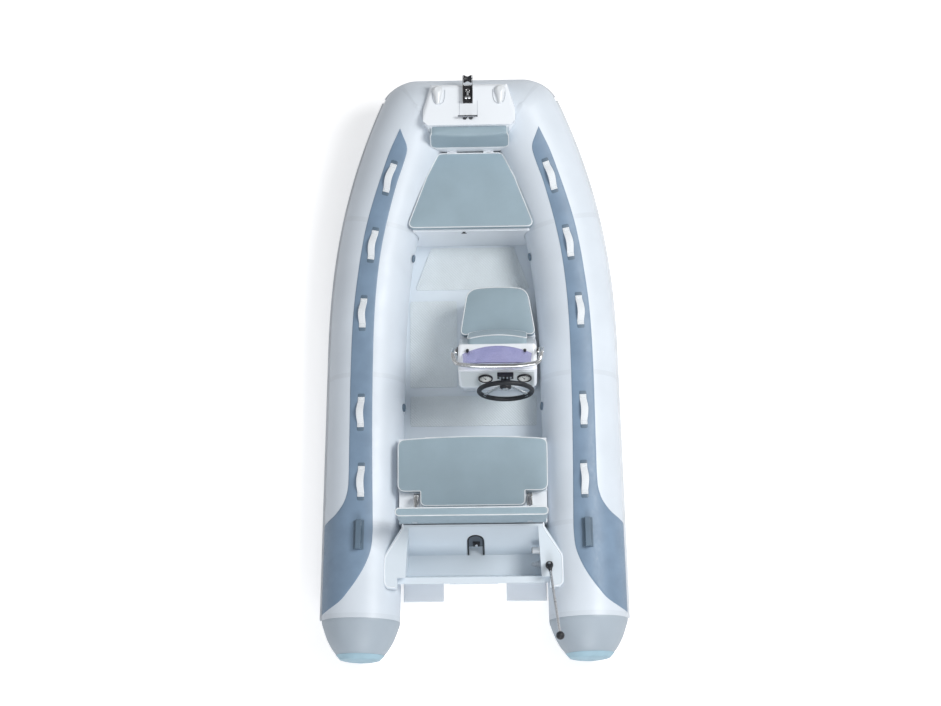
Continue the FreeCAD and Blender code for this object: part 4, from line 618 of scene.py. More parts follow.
STRIP_OUTER_EDGE = (
    (1478, 8.7), (1411, 10.2), (1339, 11.8), (1190, 13.0), (1039, 15.1), (887, 17.2), (736, 18.0),
    (596, 18.6), (350, 20.5), (0, 21.4), (-262, 20.8), (-465, 20.1), (-661, 19.8), (-737, 22.3),
    (-794, 28.5), (-849, 42.0), (-882, 62.0), (-896, 80.5))
STRIP_INNER_EDGE = (
    (1478, 8.7), (1440, -1.0), (1405, -9.5), (1366, -13.4), (1283, -14.2), (1190, -13.3), (1067, -13.0),
    (911, -12.3), (753, -11.6), (609, -11.6), (350, -11.8), (0, -12.2), (-261, -13.1), (-464, -14.4),
    (-659, -15.9), (-852, -17.6), (-951, -18.2), (-1050, -16.4), (-1127, -10.5), (-1203, -1.2),
    (-1284, 12.5), (-1357, 29.5), (-1402, 55.0), (-1420, 80.5))
STRIP_ACROSS = (0, 0.012, 0.04, 0.12, 0.22, 0.32, 0.42, 0.5, 0.58, 0.68, 0.78, 0.88, 0.96, 0.988, 1)
STRIP_LIFT, STRIP_STEPS = 0.0024, 260


def strip_mesh(side):
    """A grid between the strip's two edges, thin at its rims."""
    edges = [smooth_line([(y / 1000, TUBE_RADIUS * math.radians(angle), 0) for y, angle in edge], STRIP_STEPS)
             for edge in (STRIP_OUTER_EDGE, STRIP_INNER_EDGE)]

    def rows(sunk=None):
        grid = []
        for outer, inner in zip(*edges):
            row = []
            for share in STRIP_ACROSS:
                spot = outer.lerp(inner, share)
                rim = min(share, 1 - share)
                lift = STRIP_LIFT * (0.25 if rim < 0.001 else 0.8 if rim < 0.02 else 1)
                lift = lift if sunk is None else sunk
                row.append(on_skin(side, spot.x, math.degrees(spot.y / TUBE_RADIUS), lift))
            grid.append(row)
        return grid
    return slab_mesh(rows(-0.0005), rows())


strip_rubber = rubber_finish("wear strip", (0.190, 0.275, 0.385), 0.46)
for side_name, side in SIDES:
    show(f"{side_name}_wear_strip_skin", strip_mesh(side), strip_rubber, "root",
         (f"{side_name}_wear_strip",), 40)

# Grab handles. Ten loops of white webbing, sewn to patches on the wear strips.
# The carry handles on the quarters are moulded, with a finger hole.

HANDLE_SPOTS = ((1.195, -0.8), (0.784, 1.6), (0.361, 5.3), (-0.250, 3.6), (-0.662, 0.6))
LOOP_HALF, LOOP_WIDE, LOOP_RISE, WEBBING = 0.090, 0.038, 0.018, 0.0030
PATCH_PLACE, PATCH_HALF, PATCH_WIDE, PATCH_LIFT = 0.086, 0.026, 0.042, 0.0012
WEBBING_WHITE = (0.80, 0.84, 0.88)


def on_strip(side, y, degrees, along, across, lift):
    """A point over the wear strip: along the tube and outboard from a spot on it."""
    degrees += math.degrees(across / TUBE_RADIUS)
    return on_skin(side, y + along * run_frame(side, y)[1].y, degrees, STRIP_LIFT + lift)


def webbing_finish(name, colour):
    """Woven webbing: ribs across the strap on its own UV map."""
    material = new_finish(name, colour, 0.72, Sheen_Weight=0.15)
    weave = add_node(material, "ShaderNodeTexChecker", Scale=1.0)
    place_texture(material, weave, "UV", (520, 520, 1))
    vary(material, weave, "Base Color", shade_of(colour, 0.88), colour)
    rib = add_node(material, "ShaderNodeTexWave", Scale=0.5, Distortion=0.3)
    place_texture(material, rib, "UV", (2200, 1, 1))
    emboss(material, rib, "Fac", 0.35, 0.0006)
    return material


def loop_rise(along):
    """Height of a handle's strap over the strip, from its flat ends to its middle."""
    share = max(0.0, 1 - abs(along) / (LOOP_HALF * 0.74))
    return LOOP_RISE * share ** 1.25 * (2.25 - 1.25 * share)


def loop_mesh(side, y, degrees):
    def rows(drop):
        grid = []
        for step in range(45):
            along = LOOP_HALF * (step / 22 - 1)
            rise = loop_rise(along)
            bow = 0.005 * rise / LOOP_RISE
            grid.append([on_strip(side, y, degrees, along, bow + LOOP_WIDE * share,
                                  0.0014 + rise + WEBBING * (1 - drop) - 0.0006 * (abs(share) > 0.47))
                         for share in (-0.5, -0.46, -0.2, 0, 0.2, 0.46, 0.5)])
        return grid
    return slab_mesh(rows(1), rows(0))


def patch_mesh(side, y, degrees, middle, half, wide, lift):
    """A thin rounded patch glued on the strip under one end of a loop."""
    def rows(sunk=None):
        grid = []
        for step in range(17):
            share = step / 8 - 1
            reach = math.copysign(abs(share) ** 0.8, share)
            narrow = wide * (1 - max(0.0, abs(reach) - 0.7) ** 2 * 3.5)
            row = []
            for across in (-0.5, -0.47, -0.25, 0, 0.25, 0.47, 0.5):
                thin = 0.4 if abs(across) > 0.49 or abs(reach) > 0.99 else 1
                row.append(on_strip(side, y, degrees, middle + half * reach, narrow * across,
                                    lift * thin if sunk is None else sunk))
            grid.append(row)
        return grid
    return slab_mesh(rows(-0.0005), rows())


def repeated(name, unit, places, material):
    """Many copies of a small mesh, each at a place with its X and Z directions given."""
    seeds = bpy.data.meshes.new(name)
    seeds.from_pydata([place for place, _, _ in places], [], [])
    turns = seeds.attributes.new("turn", "FLOAT_VECTOR", "POINT")
    for index, (_, ahead, up) in enumerate(places):
        ahead = ahead.normalized()
        up = (up - ahead * up.dot(ahead)).normalized()
        turns.data[index].vector = Matrix((ahead, up.cross(ahead), up)).transposed().to_euler()
    unit_object = loose_object(unit)
    tree = bpy.data.node_groups.new(name, "GeometryNodeTree")
    tree.interface.new_socket("Geometry", in_out="INPUT", socket_type="NodeSocketGeometry")
    tree.interface.new_socket("Geometry", in_out="OUTPUT", socket_type="NodeSocketGeometry")
    start, points, spread_out, info, turn, real, paint, end = [tree.nodes.new(kind) for kind in (
        "NodeGroupInput", "GeometryNodeMeshToPoints", "GeometryNodeInstanceOnPoints",
        "GeometryNodeObjectInfo", "GeometryNodeInputNamedAttribute", "GeometryNodeRealizeInstances",
        "GeometryNodeSetMaterial", "NodeGroupOutput")]
    info.inputs["Object"].default_value = unit_object
    turn.data_type = "FLOAT_VECTOR"
    turn.inputs["Name"].default_value = "turn"
    paint.inputs["Material"].default_value = material
    for source, output, target, socket in (
            (start, "Geometry", points, "Mesh"), (points, "Points", spread_out, "Points"),
            (info, "Geometry", spread_out, "Instance"), (turn, "Attribute", spread_out, "Rotation"),
            (spread_out, "Instances", real, "Geometry"), (real, "Geometry", paint, "Geometry"),
            (paint, "Geometry", end, "Geometry")):
        tree.links.new(source.outputs[output], target.inputs[socket])
    carrier = loose_object(seeds)
    carrier.modifiers.new("repeat", "NODES").node_group = tree
    bpy.context.view_layer.update()
    mesh = bpy.data.meshes.new_from_object(carrier.evaluated_get(bpy.context.evaluated_depsgraph_get()))
    for obj in (carrier, unit_object):
        bpy.data.objects.remove(obj)
    return mesh


def stitch_unit(length=0.0042, radius=0.00055):
    """One thread stitch along X, its middle a little proud."""
    rings = []
    for share, wide in ((-1, 0.2), (-0.8, 0.75), (-0.3, 1), (0.3, 1), (0.8, 0.75), (1, 0.2)):
        reach = radius * wide
        rings.append([Vector((share * length / 2, math.cos(turn) * reach, math.sin(turn) * reach))
                      for turn in round_turns(6)])
    return skin_mesh(rings)


def handle_stitches(side, y, degrees):
    """Two rows across and two along at each sewn end of a loop."""
    places = []
    for end in (-1, 1):
        for step in range(5):
            across = (step / 4 - 0.5) * 0.024
            for along in (0.068, 0.084):
                places.append((end * along, across, "across"))
        for step in range(3):
            for across in (-0.013, 0.013):
                places.append((end * (0.071 + 0.005 * step), across, "along"))
    seats = []
    for along, across, way in places:
        lift = 0.0014 + WEBBING + loop_rise(along) + 0.0002
        here = on_strip(side, y, degrees, along, across, lift)
        ahead = on_strip(side, y, degrees, along + 0.001, across, lift) - here
        aside = on_strip(side, y, degrees, along, across + 0.001, lift) - here
        up = ahead.cross(aside) * (-1 if ahead.cross(aside).dot(Z) < 0 else 1)
        seats.append((here, aside if way == "across" else ahead, up))
    return seats


webbing = webbing_finish("white webbing", WEBBING_WHITE)
thread = handled_finish("grey thread", (0.30, 0.35, 0.40), 0.6)
patch_rubber = rubber_finish("handle patch", (0.110, 0.165, 0.225), 0.42)
for side_name, side in SIDES:
    loops = [loop_mesh(side, *spot) for spot in HANDLE_SPOTS]
    show(f"{side_name}_grab_loops", joined(loops), webbing, "root",
         (f"{side_name}_grab_handles",), 40)
    patches = [patch_mesh(side, *spot, end * PATCH_PLACE, PATCH_HALF, PATCH_WIDE, PATCH_LIFT)
               for spot in HANDLE_SPOTS for end in (-1, 1)]
    show(f"{side_name}_loop_patches", joined(patches), patch_rubber, "root")
    seats = [seat for spot in HANDLE_SPOTS for seat in handle_stitches(side, *spot)]
    show(f"{side_name}_loop_stitches", repeated("stitches", stitch_unit(), seats, thread), thread, "root")
    softened(f"{side_name}_carry_handle", 0.004, patch_rubber, "root")
    softened(f"{side_name}_valves", 0.001, patch_rubber, "root")

# Deck liner. One gelcoat moulding makes the floor, the side decks, the slanted bulkhead and the motor well.
# Three non-skid panels are glued to the floor.


def non_skid_finish(name, colour):
    """Glued deck covering: a fine raised diamond pattern with worn tops."""
    material = new_finish(name, colour, 0.62)
    cloud_colour(material, colour, 7.0, 6.0, 0.95, 1.03)
    relief = None
    for stretch in ((1, 1, 0.001), (1, -1, 0.001)):
        groove = add_node(material, "ShaderNodeTexWave", Scale=36.0, Distortion=0.0)
        groove.bands_direction = "DIAGONAL"
        place_texture(material, groove, "Object", stretch)
        relief = emboss(material, groove, "Fac", 0.5, 0.0012, relief)
    return material


# The deck liner wears the darker liner gelcoat, which is painted shade.
softened("deck_liner", 0.007, liner_gelcoat_painted_shade)
non_skid = non_skid_finish("non-skid panel", (0.65, 0.71, 0.745))
for panel in ("floor_pad_bow", "floor_pad_port", "floor_pad_aft"):
    softened(panel, 0.0015, non_skid, "root")

# Bow locker. A box under the forward seat, with a lid that carries a cushion.
# The cushion's cover is blue-grey vinyl, blown up as cloth that a white cord holds at its rim.

UPHOLSTERY = (0.300, 0.396, 0.458)
CORD_RADIUS, CORD_WHITE = 0.0036, (0.74, 0.78, 0.81)
CORD_SINK, STITCH_INSET, PAD_FILL = 0.28, 0.010, 0.85
VOXEL, QUICK_VOXEL, PUFF_CAP, HOLD_REACH = 0.006, 0.012, 0.007, 0.006
SUBDIVIDED_BELOW = 20000
SKIN_GAP = 0.003
CLOTH_FRAMES = 14
CLOTH_SETTINGS = {"quality": 3, "mass": 0.25, "tension_stiffness": 18, "compression_stiffness": 18,
                  "bending_stiffness": 0.4, "use_pressure": True, "uniform_pressure_force": 4,
                  "vertex_group_mass": "held"}


def vinyl_finish(name, colour):
    """Marine vinyl: a leather grain, a soft sheen and faint creases."""
    material = new_finish(name, colour, 0.48, Sheen_Weight=0.10)
    cloud_colour(material, colour, 6.0, 5.0, 0.94, 1.04)
    rub_patches(material, 40.0, 6.0, 0.40, 0.58)
    grain = place_texture(material, add_node(material, "ShaderNodeTexVoronoi", Scale=520.0))
    relief = emboss(material, grain, "Distance", 0.30, 0.0005)
    emboss(material, noise(material, 14.0, 3.0), "Fac", 0.20, 0.0030, relief)
    return material


def pipe_mesh(points, radius, closed=False, sides=10):
    """A round cord or tube along a line of points, closed at its ends or on itself."""
    count, rings, up, turns = len(points), [], None, round_turns(sides)
    for index, point in enumerate(points):
        before = points[index - 1] if index or closed else point
        after = points[(index + 1) % count] if index < count - 1 or closed else point
        ahead = (after - before).normalized()
        up = ahead.orthogonal() if up is None else up
        up = (up - ahead * up.dot(ahead)).normalized()
        out = ahead.cross(up)
        rings.append([point + turned(up, out, turn) * radius for turn in turns])
    if closed:
        shift = min(range(sides), key=lambda lap: (rings[0][lap] - rings[-1][0]).length)
        rings.append(rings[0][shift:] + rings[0][:shift])
    return skin_mesh(rings, not closed)


def flat_rim(mesh, way, edge):
    """The outline of a block's largest flat face that looks one way, and that face's normal."""
    face = max((one for one in mesh.polygons if one.normal.dot(way) > 0.8), key=lambda one: one.area)
    normal = face.normal.copy()
    loop = [mesh.vertices[index].co.copy() for index in face.vertices]
    girth = sum((after - before).length for before, after in zip(loop, loop[1:] + loop[:1]))
    loop = even_line(loop + loop[:1], int(girth / 0.005))[:-1]
    count = len(loop)
    outs = [(loop[(spot + 2) % count] - loop[spot - 2]).cross(normal).normalized() for spot in range(count)]
    return [point + out * edge for point, out in zip(loop, outs)], normal


def relaxed(line, passes):
    """A closed line with its corners rounded by moving each point towards its neighbours."""
    for _ in range(passes):
        line = [line[index - 1] * 0.25 + point * 0.5 + line[(index + 1) % len(line)] * 0.25
                for index, point in enumerate(line)]
    return line


def drawn_in(line, normal, inward, down):
    """The closed line moved towards its inside and down from its face."""
    return [point - (line[(index + 1) % len(line)] - line[index - 1]).cross(normal).normalized() * inward
            - normal * down for index, point in enumerate(line)]


def pad_block(line, normal, thick, rim, both):
    """A closed block under an outline, rounded on its upper rim or on both."""
    work = bmesh.new()
    top = [work.verts.new(point) for point in line]
    low = [work.verts.new(point - normal * thick) for point in line]
    work.faces.new(top)
    work.faces.new(low[::-1])
    for index in range(len(line)):
        work.faces.new((top[index - 1], low[index - 1], low[index], top[index]))
    bmesh.ops.recalc_face_normals(work, faces=work.faces)
    rims = [set(top), set(low)] if both else [set(top)]
    edges = [edge for edge in work.edges if any(set(edge.verts) <= ring for ring in rims)]
    bmesh.ops.bevel(work, geom=edges, offset=rim, segments=4, profile=0.5, affect="EDGES", clamp_overlap=True)
    mesh = bpy.data.meshes.new("block")
    work.to_mesh(mesh)
    work.free()
    return mesh


def clear_of_tubes(point, frames={}):
    """The point, or the nearest one outside the side tube if it lies in that tube's skin."""
    spot = (1 if point.x > 0 else -1, round(point.y, 3))
    if spot not in frames:
        frames[spot] = run_frame(*spot)[:2]
    centre, ahead = frames[spot]
    arm = point - centre
    arm -= ahead * arm.dot(ahead)
    if arm.length > TUBE_RADIUS + SKIN_GAP:
        return point
    return point + arm.normalized() * (TUBE_RADIUS + SKIN_GAP - arm.length)


def blown_up(mesh, held):
    """The mesh inflated as cloth held at some points, each other point moving a capped way."""
    rest = [vertex.co.copy() for vertex in mesh.vertices]
    obj = loose_object(mesh)
    group = obj.vertex_groups.new(name="held")
    group.add(held, 1.0, "REPLACE")
    cloth = obj.modifiers.new("Cloth", "CLOTH")
    for name, value in CLOTH_SETTINGS.items():
        setattr(cloth.settings, name, value)
    cloth.settings.effector_weights.gravity = 0
    cloth.collision_settings.use_collision = False
    cloth.point_cache.frame_end = CLOTH_FRAMES
    for moment in range(1, CLOTH_FRAMES + 1):
        scene.frame_set(moment)
    blown = bpy.data.meshes.new_from_object(obj.evaluated_get(bpy.context.evaluated_depsgraph_get()))
    bpy.data.objects.remove(obj)
    scene.frame_set(1)
    for vertex, start in zip(blown.vertices, rest):
        move = vertex.co - start
        if move.length:
            vertex.co = start + move.normalized() * PUFF_CAP * math.tanh(move.length / PUFF_CAP)
    return blown


def opened(line, way, depth):
    """A closed cord without its highest stretch, its two ends turned back over the pad's depth."""
    peak = max(point.z for point in line) - 0.007
    last = next(index for index, point in enumerate(line)
                if point.z > peak >= line[(index + 1) % len(line)].z)
    line = [point for point in line[last + 1:] + line[:last + 1] if point.z <= peak]
    back = [way * (-depth * step / 8) for step in range(1, 9)]
    line = [line[0] + move for move in back[::-1]] + line + [line[-1] + move for move in back]
    for _ in range(3):
        line = [line[0]] + [before * 0.25 + point * 0.5 + after * 0.25
                            for before, point, after in zip(line, line[1:], line[2:])] + [line[-1]]
    return line


def stuffed(node, body, edge, ways, bend=None, corners=4, out=None, corded=2, top_open=False):
    """A padded cover in place of a CAD block, with a welt cord and stitches round its last faces.

    A cover with many faces stays as it was remeshed, so that the boat keeps within its triangles.
    """
    block = merged_copy(node)
    faces = []
    for way in ways:
        line, normal = flat_rim(block, Vector(way).normalized(), edge if out is None else out)
        faces.append((relaxed(line, corners), normal))
    outline, normal = faces[0]
    heights = [vertex.co.dot(normal) for vertex in block.vertices]
    base, thick = min(heights), max(heights) - min(heights)

    def bent(point):
        return bend(point, (point.dot(normal) - base) / thick) if bend else point

    block = pad_block(outline, normal, thick, edge, len(ways) > 1)
    remesh = {"mode": "VOXEL", "voxel_size": VOXEL}
    mesh = plain_mesh(loose_object(block), ("REMESH", remesh), ("SMOOTH", {"factor": 0.5, "iterations": 2}))
    for vertex in mesh.vertices:
        vertex.co = bent(vertex.co)
    faces = faces[-corded:]
    sink = edge * CORD_SINK
    cords = [drawn_in(line, way, sink, sink) for line, way in faces]
    if top_open:
        cords = [opened(line, way, thick) for line, (_, way) in zip(cords, faces)]
    cords = [[bent(point) for point in line] for line in cords]
    tree = KDTree(sum(map(len, cords)))
    for index, point in enumerate(point for line in cords for point in line):
        tree.insert(point, index)
    tree.balance()
    floor = min(vertex.co.dot(normal) for vertex in mesh.vertices) + 0.004
    held = [vertex.index for vertex in mesh.vertices if tree.find(vertex.co)[2] < HOLD_REACH
            or (len(ways) == 1 and vertex.co.dot(normal) < floor)]
    mesh = blown_up(mesh, held)
    if len(mesh.polygons) < SUBDIVIDED_BELOW:
        mesh = plain_mesh(loose_object(mesh), ("SUBSURF", {"levels": 1, "render_levels": 1}))
    for vertex in mesh.vertices:
        vertex.co = clear_of_tubes(vertex.co)
    surface = BVHTree.FromPolygons([vertex.co for vertex in mesh.vertices],
                                   [face.vertices for face in mesh.polygons])
    stitches = []
    for line, way in faces:
        row = [bent(point) for point in drawn_in(line, way, sink + STITCH_INSET, 0.0)[::2]]
        for before, point, after in zip(row[-1:] + row, row, row[1:] + row[:1]):
            seat, up, _, _ = surface.find_nearest(point)
            stitches.append((seat + up * 0.0002, after - before, up))
    pad = show(f"{node}_cover", mesh, vinyl, body, (node,), 60)
    cords = [[clear_of_tubes(point) for point in line] for line in cords]
    cords = [pipe_mesh(line, CORD_RADIUS, not top_open) for line in cords]
    show(f"{node}_cord", joined(cords), cord_white, body)
    rows = repeated("stitches", stitch_unit(0.0058, 0.0006), stitches, pale_thread)
    show(f"{node}_stitches", rows, pale_thread, body)


def middle_of(node):
    """The middle of a node's box."""
    low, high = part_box(node)
    return (low + high) / 2


def side_of(node, side):
    """The middle of a node's box, moved out to its port or starboard face."""
    spot = middle_of(node)
    spot.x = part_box(node)[side > 0].x
    return spot


pale_thread = handled_finish("pale thread", (0.46, 0.54, 0.60), 0.6)
vinyl = vinyl_finish("blue-grey vinyl", UPHOLSTERY)
cord_white = rubber_finish("white welt cord", CORD_WHITE, 0.4)
stainless = handled_finish("polished stainless", (0.60, 0.61, 0.62), 0.14, Metallic=1.0)
black_plastic = rubber_finish("black plastic", (0.011, 0.012, 0.016), 0.40)
LID_EDGE = 0.0025
softened("bow_locker", 0.005, gelcoat)
softened("bow_seat_lid", LID_EDGE, gelcoat, "bow_lid")
stuffed("bow_seat_cushion", "bow_lid", 0.010, [Z], corners=6)
LATCH = Vector((-0.042, 0.866, 0.380))
LATCH_PLATE = ((-0.001, 0.011), (0.003, 0.011), (0.0045, 0.0095))
GRIP_HALF, GRIP_TOP, GRIP_DROP = 0.014, 0.003, 0.012
latch_knob = pipe_mesh([LATCH - Y * 0.004, LATCH - Y * 0.009], 0.0075, sides=24)
latch_grip = pipe_mesh([LATCH + Vector((GRIP_HALF * share, -0.0075, GRIP_TOP - GRIP_DROP * abs(share)))
                        for share in (-1, -0.5, 0, 0.5, 1)], 0.0022)
show("bow_latch", lathe(LATCH_PLATE, LATCH, -Y, 32), stainless)
show("bow_latch_thumb", joined([latch_knob, latch_grip]), black_plastic)

# Bow deck. A moulded step carries the anchor roller, the side lights, a cleat and the forward backrest.

ROLLER_PROFILE = ((0, 0.0046), (0, 0.0215), (0.001, 0.0225), (0.006, 0.0225), (0.010, 0.0215),
                  (0.016, 0.0170), (0.025, 0.0145), (0.034, 0.0170), (0.040, 0.0215), (0.044, 0.0225),
                  (0.049, 0.0225), (0.050, 0.0215), (0.050, 0.0046))
CHANNEL_MIDDLE = -0.006
LINER_SECTION = ((-0.0275, 0.6684), (0.0275, 0.6684), (0.0275, 0.690), (0.0235, 0.690), (0.021, 0.6725),
                 (-0.021, 0.6725), (-0.0235, 0.690), (-0.0275, 0.690))
LINER_PLACES = (1.578, 1.580, 1.682, 1.684)
HALF_BOBBIN = ((0.004, 0.0105), (0.016, 0.0105), (0.020, 0.0065))
BOBBIN_PROFILE = [(-height, radius) for height, radius in HALF_BOBBIN[::-1]] + [(0, 0.006), *HALF_BOBBIN]
SHACKLE_PLACE, SHACKLE_WIDE, SHACKLE_LONG = 1.652, 0.012, 0.009
PAWL_PROFILE = ((-0.014, 0.0095), (0.014, 0.0095), (0.0155, 0.008))
LIGHT_BEAD = ((-0.037, 1.662), (-0.036, 1.620), (-0.026, 1.586), (0, 1.572), (0.026, 1.586),
              (0.036, 1.620), (0.037, 1.662))
LIGHT_SPREAD, RIM_START, RIM_LIFT, RIM_DROP = 0.180, 1.455, 0.0015, 0.016


def on_channel(dx, y, z):
    """A point at the roller channel, athwart from its middle."""
    return Vector((CHANNEL_MIDDLE + dx, y, z))


dark_chrome = handled_finish("dark chrome", (0.20, 0.21, 0.23), 0.20, Metallic=1.0)
white_plastic = gelcoat_finish("white plastic", (0.72, 0.75, 0.78), 0.3)
grey_rubber = rubber_finish("grey bead", (0.52, 0.56, 0.61), 0.5)
softened("bow_deck", 0.008, gelcoat)
stuffed("bow_backrest_cushion", "root", 0.009, [(0, -0.8, 0.6)], corners=14, top_open=True)
softened("side_light_housings", 0.003, white_plastic, "root")
softened("anchor_roller_channel", 0.0012, stainless, "root")
show("anchor_roller_turned", lathe(ROLLER_PROFILE, side_of("anchor_roller", -1), X, 64, True), black_plastic,
     "roller", ("anchor_roller",))
softened("bow_cleat", 0.003, dark_chrome, "root")
softened("bow_eye", 0.003, stainless, "root")
liner = skin_mesh([[on_channel(dx, y, z) for dx, z in LINER_SECTION] for y in LINER_PLACES])
show("channel_liner", liner, black_plastic, sharp_angle=20)
shackle = [on_channel(SHACKLE_WIDE * math.cos(turn), SHACKLE_PLACE + SHACKLE_LONG * math.sin(turn), 0.677)
           for turn in round_turns(24)]
stopper = [lathe(BOBBIN_PROFILE, on_channel(0, 1.606, 0.6815), X, 32),
           lathe(PAWL_PROFILE, on_channel(0, 1.630, 0.6805), Y, 32), pipe_mesh(shackle, 0.0028, True)]
show("chain_stopper", joined(stopper), stainless)
beads = [pipe_mesh([Vector((x, 1.500, 0.6655)), Vector((x, 1.592, 0.6655))], 0.0013) for x in (-0.056, 0.051)]
for middle in (-LIGHT_SPREAD, LIGHT_SPREAD):
    beads.append(pipe_mesh(smooth_line([(middle + dx, y, 0.6660) for dx, y in LIGHT_BEAD], 40), 0.0022))
rim, _ = flat_rim(merged_copy("bow_deck"), Z, 0.0)
last = next(index for index, point in enumerate(rim) if point.y < RIM_START <= rim[(index + 1) % len(rim)].y)
rim = drawn_in(rim, Z, -RIM_LIFT, RIM_DROP)
rim = [point for point in rim[last + 1:] + rim[:last + 1] if point.y > RIM_START]
show("bow_deck_beads", joined(beads + [pipe_mesh(rim, 0.0032)]), grey_rubber)

# Console. A moulded helm stand with a seat on its forward side.
# Its CAD seat box is open at the two rounded front corners, and strips just under the outer face close it.

SEAT_AFT_BOW, SEAT_FRONT_BOW = 0.018, 0.022
SEAT_LOW, SEAT_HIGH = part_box("console_seat_cushion")
REST_LOW, REST_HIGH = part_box("console_backrest_cushion")
REST_SWELL, ROLL_REACH, ROLL_BACK, ROLL_BOW, ROLL_RISE = 0.018, 0.05, 0.0175, 0.031, 0.022
SEAT_WALL_FRONT, SEAT_WALL_TOP, SEAT_WALL_HEIGHT = 0.498, 0.3811, 0.2805
SEAT_CORNER_RADIUS, SEAT_CORNER_SPREAD = 0.060, 0.1245
CORNER_SKIN, CORNER_BACK = 0.0598, 0.0520
grey_plastic = gelcoat_finish("grey panel", (0.68, 0.73, 0.755), 0.38)
gauge_white = handled_finish("gauge dial", (0.78, 0.79, 0.77), 0.3)
softened("console", 0.004, gelcoat)
softened("console_seat_box", 0.0015, gelcoat, limit=50)
corner_turns = [math.radians(38 + 2.5 * step) for step in range(11)]
corner_plan = [(turn, CORNER_SKIN) for turn in corner_turns]
corner_plan += [(turn, CORNER_BACK) for turn in corner_turns[::-1]]
corners = []
for side in (-1, 1):
    hub = Vector((middle_of("console_seat_box").x + side * SEAT_CORNER_SPREAD,
                  SEAT_WALL_FRONT - SEAT_CORNER_RADIUS, SEAT_WALL_TOP))
    line = [hub + turned(X * side, Y, turn) * reach for turn, reach in corner_plan]
    corners.append(pad_block(line, Z, SEAT_WALL_HEIGHT, 0.0003, False))
show("seat_box_corners", joined(corners), gelcoat)
softened("console_seat_lid", LID_EDGE, gelcoat, "console_lid")


def across_box(point, low, high):
    """Where a point lies athwart in a box, from -1 at its port face to 1."""
    return (point.x - (low.x + high.x) / 2) / ((high.x - low.x) / 2)


def seat_bend(point, _):
    """The seat's plan: its front edge bows forward and its aft edge bows in."""
    across = across_box(point, SEAT_LOW, SEAT_HIGH)
    along = (point.y - SEAT_LOW.y) / (SEAT_HIGH.y - SEAT_LOW.y)
    aft = SEAT_AFT_BOW * (1 - across ** 2) * (1 - along) ** 2
    return point + Y * (aft - SEAT_FRONT_BOW * across ** 2 * along ** 2)


def rest_bend(point, depth):
    """The rest's face swells forward in its middle, and its back rolls over the console's top edge."""
    across = across_box(point, REST_LOW, REST_HIGH)
    swell = REST_SWELL * (1 - across ** 2) * (1 - depth)
    roll = max(0.0, (point.z - REST_HIGH.z) / ROLL_REACH + 1) * depth
    return point + Y * (swell - roll * (ROLL_BACK + ROLL_BOW * across ** 2)) + Z * ROLL_RISE * roll


stuffed("console_seat_cushion", "console_lid", 0.012, [Z], seat_bend, 8)
stuffed("console_backrest_cushion", "root", 0.010, [(0, -0.9, -0.3), (0, 0.9, 0.3)], rest_bend, 6, corded=1)
softened("dash_plate", 0.001, grey_plastic, "root")
softened("switch_box", 0.003, black_plastic, "root")
softened("steering_column", 0.002, black_plastic, "root")
softened("console_rail", 0.001, stainless, "root", 50)

BEZEL_PROFILE = ((-0.006, 0.0400), (-0.004, 0.0418), (0.0030, 0.0418), (0.0058, 0.0405), (0.0062, 0.0385),
                 (0.0050, 0.0345), (0.0022, 0.0338))
DIAL_PROFILE, NEEDLE_CAP = ((0.0018, 0.0330), (0.0028, 0.0330)), ((0.0028, 0.0042), (0.0055, 0.0036))
DIAL_INSET, TICK_REACH, TICK_LIFT, NEEDLE_LIFT = 0.042, 0.028, 0.0030, 0.0042
SWITCH_SPOTS, SWITCH_LIFT = (-0.030, -0.010, 0.010, 0.030), 0.0135
_, panel_out = flat_rim(merged_copy("dash_plate"), Vector((0, -0.97, 0.25)), 0.0)
panel_up = panel_out.cross(X).normalized()
panel_up *= 1 if panel_up.z > 0 else -1
dials = [side_of("gauges", side) - X * side * DIAL_INSET for side in (-1, 1)]


def turned_dials(profile, sides=48):
    """The same turned piece on both gauges."""
    return [lathe(profile, dial, panel_out, sides) for dial in dials]


show("gauge_bezels", joined(turned_dials(BEZEL_PROFILE)), black_plastic, "root",
     ("gauges",))
show("gauge_dials", joined(turned_dials(DIAL_PROFILE)), gauge_white, "root")
ticks, needles = [], []
for dial, cap in zip(dials, turned_dials(NEEDLE_CAP, 24)):
    for turn in (math.radians(-40 + 26 * step) for step in range(11)):
        spoke = turned(X, panel_up, turn)
        ticks.append((dial + panel_out * TICK_LIFT + spoke * TICK_REACH, spoke, panel_out))
    spoke, root = (X * -0.6 + panel_up).normalized(), dial + panel_out * NEEDLE_LIFT
    needles += [pipe_mesh([root - spoke * 0.006, root + spoke * 0.024], 0.0010), cap]
tick_marks = repeated("ticks", stitch_unit(0.0070, 0.0009), ticks, black_plastic)
show("gauge_marks", joined([tick_marks] + needles), black_plastic)
switches = [(middle_of("switch_box") + X * dx + panel_out * SWITCH_LIFT, panel_up, panel_out)
            for dx in SWITCH_SPOTS]
show("switch_rockers", repeated("rockers", stitch_unit(0.018, 0.0055), switches, thread), thread)

